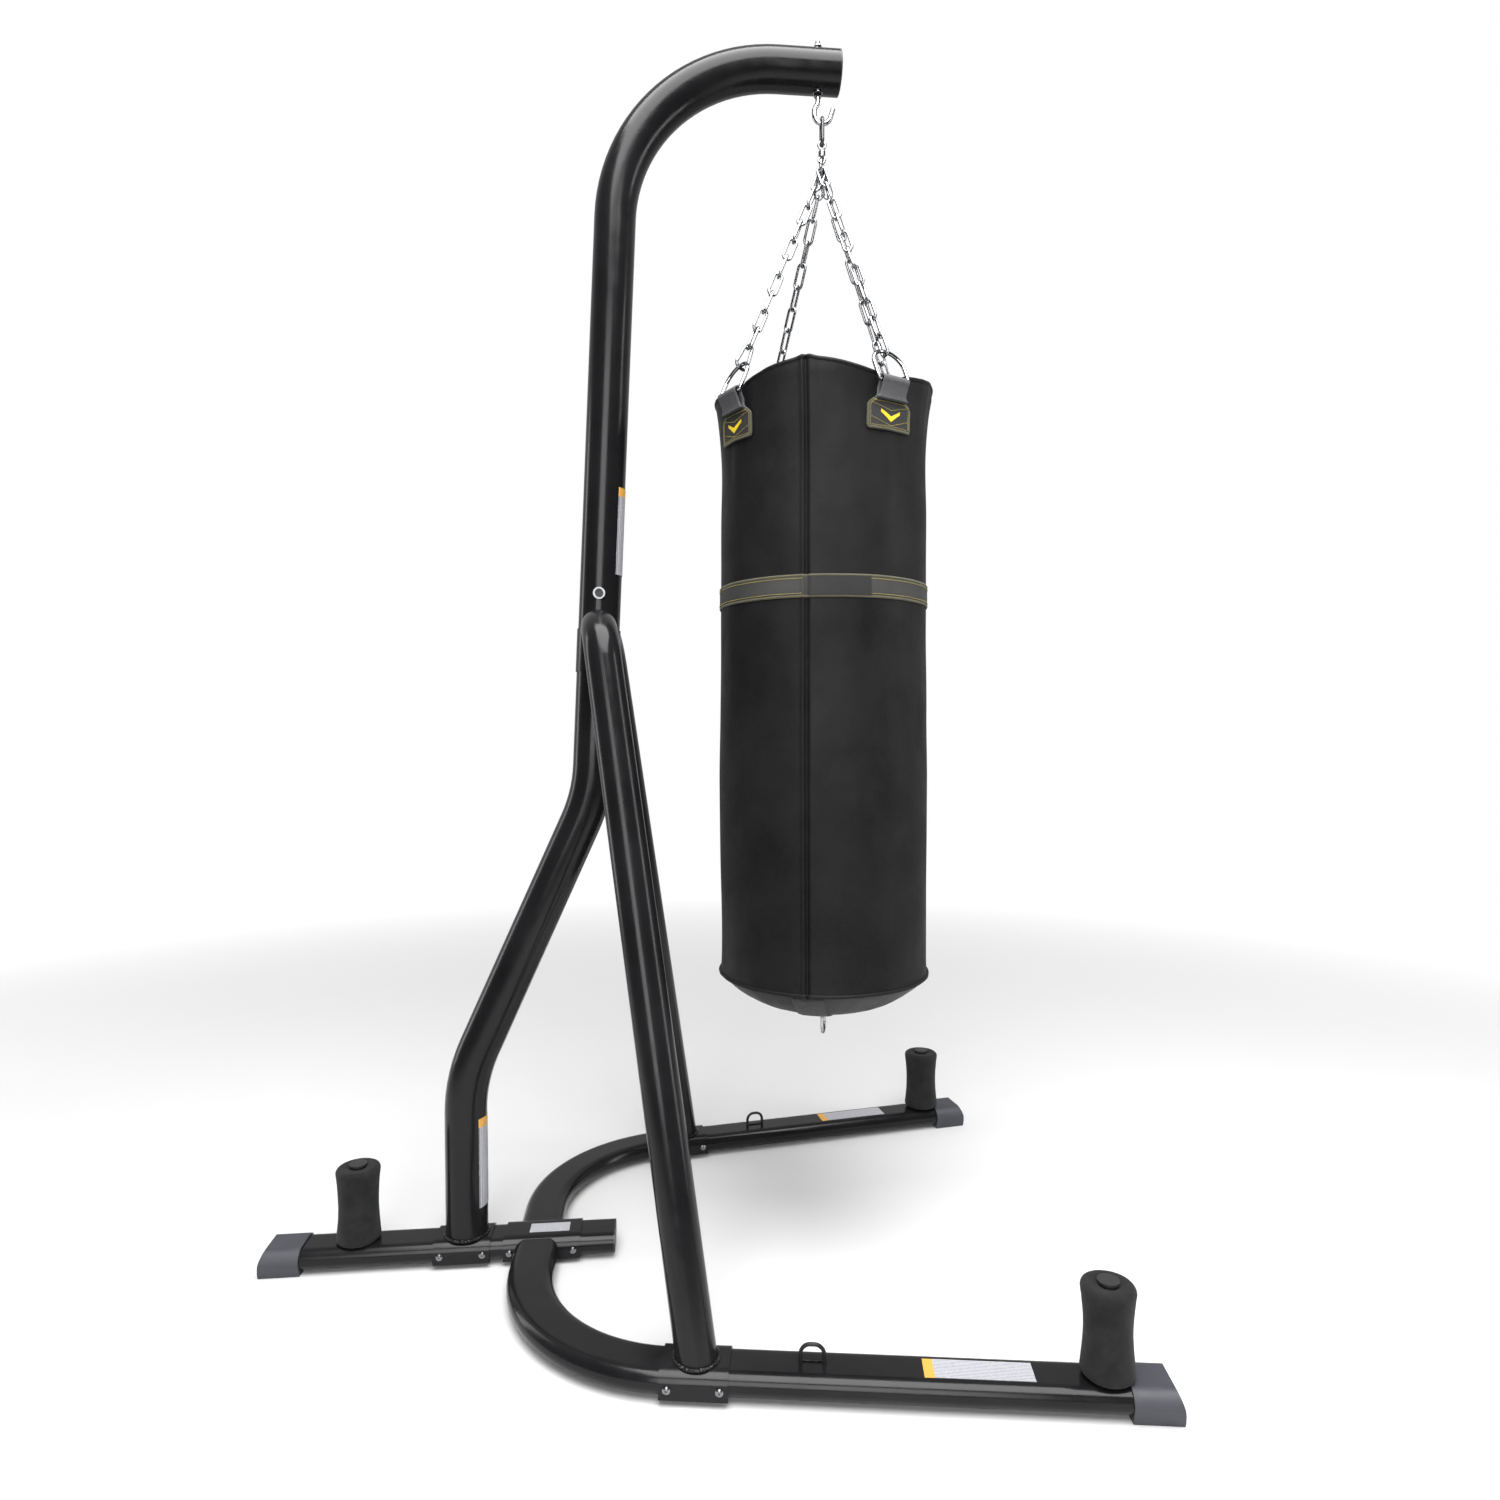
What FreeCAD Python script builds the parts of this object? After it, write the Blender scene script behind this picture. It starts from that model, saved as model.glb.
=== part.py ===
import FreeCAD, Part

# A heavy punching bag hanging from a three-footed steel stand.
# Frame: +X runs from the rear foot to the open front of the base, +Y is the left side, +Z is up.
# The origin is on the floor, at the middle of the footprint. All sizes are in millimetres.

import math
import os

Vector = FreeCAD.Vector
UP = Vector(0, 0, 1)
LEFT = 1
RIGHT = -1
SIDES = {"left": LEFT, "right": RIGHT}

# --- base tubes: one flat-sided oval section for the whole base ---------------------------------
OVAL_WIDTH = 70.0
OVAL_HEIGHT = 33.0
OVAL_CORNER = 16.4
TUBE_WALL = 2.0
BASE_Z = 23.0                                   # height of the tube's centre above the floor
BASE_TOP = BASE_Z + OVAL_HEIGHT / 2

BASE_REAR_X = -637.0                            # rear end of the centre tube, inside its foot
BASE_STUB_X = -89.0                             # front end of the centre tube
CURVE_X = -212.0                                # where the curved tubes cross the centre tube
CURVE_RADIUS = 249.0
RAIL_FLARE = math.radians(9.34)                 # how far each side rail turns outwards
RAIL_Y_AT_ORIGIN = 342.8
RAIL_END_X = 631.0

# --- saddles: folded plates that clamp the tubes together ---------------------------------------
SADDLE_PLATE = 3.0
SADDLE_FIT = 0.15                               # gap between a saddle and its tube
SADDLE_SKIRT_Z = 9.0                            # lower edge of a saddle's sides
REAR_SADDLE_X = -331.0
REAR_SADDLE_LENGTH = 89.0
CENTRE_SADDLE_X = -204.0
CENTRE_SADDLE_LENGTH = 123.0
SIDE_SADDLE_X = 34.0
SIDE_SADDLE_LENGTH = 90.0
SCREW_INSET = 11.0                              # from a saddle's end to its screws
SADDLE_TOP = BASE_TOP + SADDLE_FIT + SADDLE_PLATE

# --- uprights -----------------------------------------------------------------------------------
UPRIGHT_RADIUS = 33.6
UPRIGHT_WALL = 2.5
LOWER_X = -328.0                                # the lower upright's vertical foot
KNEE_LOW = Vector(-328.0, 0, 296.0)             # corners of the upright's centre line
KNEE_HIGH = Vector(-119.3, 0, 757.7)
KNEE_RADIUS = 260.0
UPPER_LEAN = 0.0458                             # forward lean of the upper upright, dx/dz
ARM_Z = 1950.0
ARM_RADIUS = 266.0
ARM_END_X = 291.0
JOINT_Z = 1099.0                                # seam between the two uprights
SPIGOT_LENGTH = 110.0
SPIGOT_SEAT = 20.0                              # how far the reduced end is joined inside the tube
COLLAR_BOTTOM_Z = 958.0
COLLAR_TOP_Z = 1028.0
COLLAR_WALL = 1.5
JOINT_BOLT_Z = 1084.0

# --- side legs ----------------------------------------------------------------------------------
LEG_RADIUS = 27.8
LEG_TOP_Z = 1027.0
LEG_CORNER = Vector(-100.5, 110.4, LEG_TOP_Z)   # corner of the left leg's centre line
LEG_BEND_RADIUS = 72.0

# --- feet ---------------------------------------------------------------------------------------
FOOT_LENGTH = 64.0
FOOT_WALL = 2.8
FOOT_REAR_END_X = -646.2
FOOT_END_SLOPE = 9.5                            # how far the top stands back from the toe
FOOT_SOCKET = 55.0
FOOT_TAPER = 6.5                                # how far each side leans in at the floor

# --- weight pegs and their foam sleeves ---------------------------------------------------------
PEG_RADIUS = 12.7
PEG_WALL = 2.0
PEG_TOP_Z = 161.0
REAR_PEG_X = -499.5
FRONT_PEG_X = 555.0
FOAM_GAP = 0.3                                  # between a sleeve and what it stands on
FOAM_TOP_Z = 159.5
FOAM_END_RADIUS = 34.4
FOAM_WAIST_RADIUS = 30.6
FOAM_EDGE = 6.0
CAP_RADIUS = 14.0
CAP_HEIGHT = 3.0

# --- tie-down loops on the rails ----------------------------------------------------------------
LOOP_X = 184.0
LOOP_SPAN = 31.0
LOOP_HEIGHT = 28.0
LOOP_WIRE = 2.6
LOOP_BEND = 13.0

# --- hook, link and swivel ----------------------------------------------------------------------
HANG_X = 264.0                                  # plumb line through the hook and the bag
HOOK_ROD = 3.8
HOOK_RADIUS = 12.5
HOOK_BOTTOM_Z = 1867.0
SHANK_OFFSET = 6.8
HOOK_TOP_Z = 1999.0
HOOK_NUT = 12.0                                 # across the flats
HOOK_WASHER = 8.0
LINK_GAP = 0.6                                  # clearance inside each hanging pair
LINK_WIRE = 2.9
LINK_RADIUS = HOOK_ROD + LINK_GAP + LINK_WIRE
LINK_BOTTOM_Z = 1831.0
EYE_WIRE = 2.2
EYE_RADIUS = LINK_WIRE + LINK_GAP + EYE_WIRE
SWIVEL_STEM = 1.9
SWIVEL_HEAD = 3.4
SWIVEL_HEAD_HEIGHT = 2.8
SWIVEL_HEAD_Z = 1814.7
SWIVEL_PLAY = 0.4
SWIVEL_BARREL = 5.6
BARREL_TOP_Z = 1821.8
BARREL_BOTTOM_Z = 1811.0
LUG_RADIUS = 5.2
LUG_WIRE = 2.0
RING_RADIUS = 13.0
RING_WIRE = 2.5
RING_Z = 1794.0

# --- bag ----------------------------------------------------------------------------------------
BAG_RADIUS = 171.5
BAG_SKIN = 3.0
BAG_LINER = 14.0
BAG_BOTTOM_Z = 458.0
BAG_TOP_Z = 1402.0
BAG_DOME = 58.0                                 # how far the bottom panel bulges down
BAG_LID_Z = 1386.0
SEAM_AZIMUTH = math.radians(252.0)              # the bag's side seam, measured from +X
PIPING_RADIUS = 3.0
BELT_Z = 1080.0
BELT_WIDTH = 34.0
BELT_THICKNESS = 2.0

TAB_THICKNESS = 2.8
TAB_TOP_WIDTH = 50.0
TAB_BOTTOM_WIDTH = 84.0
TAB_BOTTOM_Z = 1317.0
TAB_SHOULDER_Z = 1366.0
TAB_SHOULDER_DROP = 11.0                        # height over which the tab widens
DRING_BAR_R = 181.0
DRING_BAR_Z = 1389.0
DRING_WIRE = 3.0
DRING_HALF_WIDTH = 29.5
DRING_HEIGHT = 55.0
DRING_BEND = 6.0
STRAP_GAP = 0.3
FOLD_RADIUS = 4.6                               # inside of the tab's fold round the ring's bar
FOLD_SHIFT = 0.9                                # the curved fold's middle stands a little outside the straight bar

CHAIN_WIRE = 2.2
CHAIN_PLAY = 0.3                                # gap between touching links
CHAIN_HALF_WIDTH = 6.6
CHAIN_LINKS = 11
PEAR_LENGTH = 42.0
PEAR_WIRE = 2.6
RING_SEATS = {207: 18.5, 297: 45.0, 27: -18.5, 117: -45.0}
RING_PLAY = 1.2                                 # slack between the gathering ring and a link

BOTTOM_STRAP_WIDTH = 50.0
BOTTOM_STRAP_THICKNESS = 2.6
BOTTOM_BAR_Z = 385.0
BOTTOM_RING_WIRE = 2.5
BOTTOM_RING_HALF = 15.0
BOTTOM_RING_HEIGHT = 32.0

LABEL_THICKNESS = 0.3
UPRIGHT_LABEL_THICKNESS = 0.6
UPRIGHT_LABEL_WIDTH = 46.0
LOWER_LABEL_Z = (91.0, 236.0)
UPPER_LABEL_Z = (1117.0, 1257.0)


# --- geometry helpers ---------------------------------------------------------------------------

def save(name, *solids):
    """Write one sub-part; separate solids stay separate."""
    shape = solids[0] if len(solids) == 1 else Part.makeCompound(list(solids))
    shape.exportStep("parts/%s.step" % name)


def joined(shapes):
    """Fuse touching pieces into one clean solid."""
    shapes = [shape for shape in shapes if shape is not None]
    if len(shapes) == 1:
        return shapes[0]
    return shapes[0].multiFuse(shapes[1:]).removeSplitter()


def axes_at(origin, direction, up):
    """Placement whose local Z runs along direction and whose local Y is nearest to up."""
    z = Vector(direction).normalize()
    x = Vector(up).cross(z).normalize()
    y = z.cross(x)
    return FreeCAD.Placement(FreeCAD.Matrix(
        x.x, y.x, z.x, origin.x,
        x.y, y.y, z.y, origin.y,
        x.z, y.z, z.z, origin.z,
        0, 0, 0, 1))


def moved(shape, placement):
    """Copy of a shape, placed."""
    copy = shape.copy()
    copy.Placement = placement.multiply(copy.Placement)
    return copy


def face_of(outer, *inner):
    """Planar face with holes."""
    face = Part.Face(outer)
    for wire in inner:
        face = face.cut(Part.Face(wire))
    return face.Faces[0]


def oval_wire(width, height, corner):
    """Flat-sided oval in the local XY plane."""
    w = width / 2
    h = height / 2
    edges = []
    for sx, sy in ((1, 1), (-1, 1), (-1, -1), (1, -1)):
        cx = sx * (w - corner)
        cy = sy * (h - corner)
        side = Vector(sx * w, cy, 0)
        flat = Vector(cx, sy * h, 0)
        bend = corner * math.sqrt(0.5)
        middle = Vector(cx + sx * bend, cy + sy * bend, 0)
        edges.append(Part.Arc(side, middle, flat).toShape())
        edges.append(Part.LineSegment(flat, Vector(0, sy * h, 0)).toShape())
        edges.append(Part.LineSegment(side, Vector(sx * w, 0, 0)).toShape())
    return Part.Wire(Part.__sortEdges__(edges))


def oval_tube_face():
    """Section of the base tube, with its wall."""
    inner = oval_wire(OVAL_WIDTH - 2 * TUBE_WALL, OVAL_HEIGHT - 2 * TUBE_WALL, OVAL_CORNER - TUBE_WALL)
    return face_of(oval_wire(OVAL_WIDTH, OVAL_HEIGHT, OVAL_CORNER), inner)


def circle_wire(radius):
    return Part.Wire([Part.makeCircle(radius)])


def disc_face(radius):
    return face_of(circle_wire(radius))


def pipe_face(radius, wall):
    return face_of(circle_wire(radius), circle_wire(radius - wall))


def along_path(section, points, radii, up):
    """Carry a section along straight runs that are joined by tangent arcs."""
    pieces = []
    start = points[0]
    for index in range(1, len(points)):
        corner = points[index]
        before = (corner - points[index - 1]).normalize()
        if index < len(points) - 1:
            after = (points[index + 1] - corner).normalize()
            turn = before.getAngle(after)
            radius = radii[index - 1]
            reach = radius * math.tan(turn / 2)
            end = corner - before * reach
        else:
            end = corner
        run = end - start
        if run.Length > 1e-6:
            pieces.append(moved(section, axes_at(start, before, up)).extrude(run))
        if index < len(points) - 1:
            axis = before.cross(after).normalize()
            centre = end + axis.cross(before) * radius
            bend = moved(section, axes_at(end, before, up))
            pieces.append(bend.revolve(centre, axis, math.degrees(turn)))
            start = corner + after * reach
    return joined(pieces)


def cylinder(radius, start, end):
    """Solid rod between two points."""
    return Part.makeCylinder(radius, (end - start).Length, start, end - start)


def ring_bead(radius, wire, centre, normal):
    return Part.makeTorus(radius, wire, centre, normal)


def azimuth(angle, radius=1.0, z=0.0):
    """Point at a bearing round the bag's axis, relative to that axis."""
    return Vector(radius * math.cos(angle), radius * math.sin(angle), z)


def about_hang(offset):
    return Vector(HANG_X, 0, 0) + offset


# --- lines that several sub-parts share ---------------------------------------------------------

def rail_direction(side):
    return Vector(math.cos(RAIL_FLARE), side * math.sin(RAIL_FLARE), 0)


def rail_point(x, side, z=BASE_Z):
    """Point on a side rail's centre line."""
    return Vector(x, side * (RAIL_Y_AT_ORIGIN + x * math.tan(RAIL_FLARE)), z)


def upper_line(z):
    """Centre of the upper upright at a height."""
    return Vector(KNEE_HIGH.x + (z - KNEE_HIGH.z) * UPPER_LEAN, 0, z)


UPPER_DIRECTION = Vector(UPPER_LEAN, 0, 1).normalize()


# --- base ---------------------------------------------------------------------------------------

def saddle_section():
    """Folded plate over a base tube, in the local XY plane with the tube's centre at the origin."""
    def arch(grow):
        w = OVAL_WIDTH / 2 + grow
        h = OVAL_HEIGHT / 2 + grow
        corner = OVAL_CORNER + grow
        skirt = SADDLE_SKIRT_Z - BASE_Z
        bend = corner * math.sqrt(0.5)
        left = [Vector(-w, skirt, 0), Vector(-w, h - corner, 0), Vector(-(w - corner), h, 0)]
        middle_left = Vector(-(w - corner) - bend, h - corner + bend, 0)
        middle_right = Vector(w - corner + bend, h - corner + bend, 0)
        right = [Vector(w - corner, h, 0), Vector(w, h - corner, 0), Vector(w, skirt, 0)]
        return [
            Part.LineSegment(left[0], left[1]).toShape(),
            Part.Arc(left[1], middle_left, left[2]).toShape(),
            Part.LineSegment(left[2], right[0]).toShape(),
            Part.Arc(right[0], middle_right, right[1]).toShape(),
            Part.LineSegment(right[1], right[2]).toShape(),
        ], left[0], right[2]

    outer, outer_left, outer_right = arch(SADDLE_FIT + SADDLE_PLATE)
    inner, inner_left, inner_right = arch(SADDLE_FIT)
    plate_edges = outer + inner + [
        Part.LineSegment(outer_left, inner_left).toShape(),
        Part.LineSegment(outer_right, inner_right).toShape(),
    ]
    envelope_edges = outer + [Part.LineSegment(outer_left, outer_right).toShape()]
    plate = Part.Face(Part.Wire(Part.__sortEdges__(plate_edges)))
    envelope = Part.Face(Part.Wire(Part.__sortEdges__(envelope_edges)))
    return plate, envelope


def along_tube(face, centre, direction, length):
    """Extrude a section face evenly to both sides of a point on a tube."""
    start = centre - direction * (length / 2)
    return moved(face, axes_at(start, direction, UP)).extrude(direction * length)


def saddle_screws(centre, direction, length):
    """Four pan-head screws, two on each side of a saddle."""
    across = UP.cross(direction)
    face_out = OVAL_WIDTH / 2 + SADDLE_FIT + SADDLE_PLATE
    screws = []
    for along in (-1, 1):
        spot = centre + direction * (along * (length / 2 - SCREW_INSET))
        for side in (LEFT, RIGHT):
            outward = across * side
            seat = spot + outward * face_out
            head = Part.makeCylinder(5.2, 2.0, seat, outward)
            dome = Part.makeCone(5.2, 3.2, 1.4, seat + outward * 2.0, outward)
            shank = Part.makeCylinder(2.6, 9.0, seat - outward * 9.0, outward)
            socket = Part.makeCylinder(1.7, 2.0, seat + outward * 1.6, outward)
            screws.append(joined([head, dome, shank]).cut(socket))
    return screws


def make_base():
    """Centre tube, curved tubes, rails, saddles and the screws that hold them."""
    forward = Vector(1, 0, 0)
    plate, envelope = saddle_section()
    rear_centre = Vector(REAR_SADDLE_X, 0, BASE_Z)
    mid_centre = Vector(CENTRE_SADDLE_X, 0, BASE_Z)
    rear_saddle = along_tube(plate, rear_centre, forward, REAR_SADDLE_LENGTH)
    mid_saddle = along_tube(plate, mid_centre, forward, CENTRE_SADDLE_LENGTH)
    mid_envelope = along_tube(envelope, mid_centre, forward, CENTRE_SADDLE_LENGTH)
    rear_screws = saddle_screws(rear_centre, forward, REAR_SADDLE_LENGTH)
    mid_screws = saddle_screws(mid_centre, forward, CENTRE_SADDLE_LENGTH)
    screws = rear_screws + mid_screws

    section = oval_tube_face()
    ends = [Vector(BASE_REAR_X, 0, BASE_Z), Vector(BASE_STUB_X, 0, BASE_Z)]
    centre_tube = along_path(section, ends, [], UP)
    save("rear_base_tube", centre_tube.cut(Part.makeCompound(screws)))
    save("rear_saddle", rear_saddle.cut(Part.makeCompound(rear_screws)))
    save("centre_saddle", mid_saddle.cut(Part.makeCompound(mid_screws)))

    skirt_block = Part.makeBox(CENTRE_SADDLE_LENGTH, OVAL_WIDTH + 2 * SADDLE_FIT, SADDLE_SKIRT_Z,
                               Vector(CENTRE_SADDLE_X - CENTRE_SADDLE_LENGTH / 2,
                                      -OVAL_WIDTH / 2 - SADDLE_FIT, 0))
    for name, side in SIDES.items():
        direction = rail_direction(side)
        centre = rail_point(SIDE_SADDLE_X, side)
        side_screws = saddle_screws(centre, direction, SIDE_SADDLE_LENGTH)
        cutters = Part.makeCompound(side_screws)
        corner = rail_point(CURVE_X, side)
        inside = Vector(CURVE_X, side * OVAL_WIDTH * 0.3, BASE_Z)
        curve = along_path(section, [inside, corner, centre], [CURVE_RADIUS], UP)
        curve = curve.cut(mid_envelope.fuse(skirt_block)).cut(cutters)
        rail = along_path(section, [centre, rail_point(RAIL_END_X, side)], [], UP).cut(cutters)
        saddle = along_tube(plate, centre, direction, SIDE_SADDLE_LENGTH).cut(cutters)
        save("curve_tube_" + name, curve.cut(Part.makeCompound(mid_screws)))
        save("side_rail_" + name, rail)
        save("side_saddle_" + name, saddle)
        screws = screws + side_screws
    save("saddle_screws", *screws)

    plug_wire = oval_wire(OVAL_WIDTH, OVAL_HEIGHT, OVAL_CORNER)
    shrink = TUBE_WALL + 0.05
    neck_wire = oval_wire(OVAL_WIDTH - 2 * shrink, OVAL_HEIGHT - 2 * shrink, OVAL_CORNER - shrink)
    at_end = axes_at(Vector(BASE_STUB_X, 0, BASE_Z), forward, UP)
    flange = moved(face_of(plug_wire), at_end).extrude(forward * 2.5)
    neck = moved(face_of(neck_wire), at_end).extrude(forward * -14.0)
    save("base_stub_plug", joined([flange, neck]))


def foot(tip, direction):
    """Moulded boot over a tube end: wedge-shaped, open where the tube goes in."""
    wide = OVAL_WIDTH / 2 + FOOT_WALL
    top = OVAL_HEIGHT / 2 + FOOT_WALL
    corner = OVAL_CORNER + FOOT_WALL
    floor = -BASE_Z
    bend = corner * math.sqrt(0.5)
    toe_in = FOOT_TAPER
    edges = [
        Part.LineSegment(Vector(-wide + toe_in, floor, 0), Vector(-wide, top - corner, 0)).toShape(),
        Part.Arc(Vector(-wide, top - corner, 0), Vector(-(wide - corner) - bend, top - corner + bend, 0),
                 Vector(-(wide - corner), top, 0)).toShape(),
        Part.LineSegment(Vector(-(wide - corner), top, 0), Vector(wide - corner, top, 0)).toShape(),
        Part.Arc(Vector(wide - corner, top, 0), Vector(wide - corner + bend, top - corner + bend, 0),
                 Vector(wide, top - corner, 0)).toShape(),
        Part.LineSegment(Vector(wide, top - corner, 0), Vector(wide - toe_in, floor, 0)).toShape(),
        Part.LineSegment(Vector(wide - toe_in, floor, 0), Vector(-wide + toe_in, floor, 0)).toShape(),
    ]
    section = Part.Face(Part.Wire(edges))
    heel = tip - direction * FOOT_LENGTH
    body = moved(section, axes_at(heel, direction, UP)).extrude(direction * FOOT_LENGTH)

    # side view: the toe is a convex curve that stands back at the top
    profile_edges = [
        Part.LineSegment(Vector(-1, floor, 0), Vector(FOOT_LENGTH - 1, floor, 0)).toShape(),
        Part.Arc(Vector(FOOT_LENGTH - 1, floor, 0), Vector(FOOT_LENGTH - 2.2, floor * 0.1, 0),
                 Vector(FOOT_LENGTH - FOOT_END_SLOPE, top, 0)).toShape(),
        Part.LineSegment(Vector(FOOT_LENGTH - FOOT_END_SLOPE, top, 0), Vector(-1, top, 0)).toShape(),
        Part.LineSegment(Vector(-1, top, 0), Vector(-1, floor, 0)).toShape(),
    ]
    profile = Part.Face(Part.Wire(profile_edges))
    across = UP.cross(direction)
    side_view = FreeCAD.Placement(FreeCAD.Matrix(
        direction.x, 0, -across.x, heel.x + across.x * 60,
        direction.y, 0, -across.y, heel.y + across.y * 60,
        0, 1, 0, heel.z,
        0, 0, 0, 1))
    wedge = moved(profile, side_view).extrude(across * -120)
    gap = 0.1
    socket_wire = oval_wire(OVAL_WIDTH + 2 * gap, OVAL_HEIGHT + 2 * gap, OVAL_CORNER + gap)
    socket = moved(face_of(socket_wire), axes_at(heel - direction * 2, direction, UP))
    socket = socket.extrude(direction * (FOOT_SOCKET + 2))
    return body.common(wedge).cut(socket)


def make_feet():
    save("foot_rear", foot(Vector(FOOT_REAR_END_X, 0, BASE_Z), Vector(-1, 0, 0)))
    for name, side in SIDES.items():
        direction = rail_direction(side)
        tip = rail_point(RAIL_END_X, side) + direction * (FOOT_LENGTH - FOOT_SOCKET)
        save("foot_" + name, foot(tip, direction))


def foam_sleeve(base, low):
    """Hourglass foam sleeve with rounded ends and a straight bore."""
    high = FOAM_TOP_Z
    bore = PEG_RADIUS + 0.1
    end = FOAM_END_RADIUS
    arc = FOAM_EDGE * (1 - math.sqrt(0.5))
    edges = [
        Part.LineSegment(Vector(bore, 0, low), Vector(end - FOAM_EDGE, 0, low)).toShape(),
        Part.Arc(Vector(end - FOAM_EDGE, 0, low), Vector(end - arc, 0, low + arc),
                 Vector(end, 0, low + FOAM_EDGE)).toShape(),
        Part.Arc(Vector(end, 0, low + FOAM_EDGE), Vector(FOAM_WAIST_RADIUS, 0, (low + high) / 2),
                 Vector(end, 0, high - FOAM_EDGE)).toShape(),
        Part.Arc(Vector(end, 0, high - FOAM_EDGE), Vector(end - arc, 0, high - arc),
                 Vector(end - FOAM_EDGE, 0, high)).toShape(),
        Part.LineSegment(Vector(end - FOAM_EDGE, 0, high), Vector(bore, 0, high)).toShape(),
        Part.LineSegment(Vector(bore, 0, high), Vector(bore, 0, low)).toShape(),
    ]
    sleeve = Part.Face(Part.Wire(edges)).revolve(Vector(0, 0, 0), UP, 360)
    sleeve.translate(Vector(base.x, base.y, 0))
    return sleeve


def make_pegs():
    """Weight pegs with foam sleeves and end caps."""
    spots = [Vector(REAR_PEG_X, 0, BASE_TOP)]
    spots += [rail_point(FRONT_PEG_X, side, BASE_TOP) for side in SIDES.values()]
    foot_top = BASE_TOP + FOOT_WALL
    foam_lows = [BASE_TOP + FOAM_GAP, foot_top + FOAM_GAP, foot_top + FOAM_GAP]
    posts = []
    sleeves = []
    caps = []
    for base, foam_low in zip(spots, foam_lows):
        top = Vector(base.x, base.y, PEG_TOP_Z)
        posts.append(cylinder(PEG_RADIUS, base, top).cut(cylinder(PEG_RADIUS - PEG_WALL, base, top)))
        sleeves.append(foam_sleeve(base, foam_low))
        cap = Part.makeCylinder(CAP_RADIUS, CAP_HEIGHT, top)
        plug = cylinder(PEG_RADIUS - PEG_WALL - 0.05, top - UP * 12, top)
        caps.append(joined([cap, plug]))
    save("weight_pegs", *posts)
    save("foam_sleeves", *sleeves)
    save("peg_caps", *caps)


def make_loops():
    """Bent-wire tie-down loops welded on the rails, each with its bead."""
    beads = []
    for name, side in SIDES.items():
        along = rail_direction(side)
        middle = rail_point(LOOP_X, side, BASE_TOP)
        foot_a = middle - along * (LOOP_SPAN / 2)
        foot_b = middle + along * (LOOP_SPAN / 2)
        rise = UP * (LOOP_HEIGHT - LOOP_WIRE)
        path = [foot_a, foot_a + rise, foot_b + rise, foot_b]
        across = UP.cross(along)
        loop = along_path(disc_face(LOOP_WIRE), path, [LOOP_BEND, LOOP_BEND], across)
        shift = across * (LOOP_WIRE + 1.0) + UP
        save("tie_loop_" + name, loop)
        beads.append(cylinder(1.0, foot_a + shift, foot_b + shift))
    return beads


# --- uprights, arm and legs ---------------------------------------------------------------------

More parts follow.
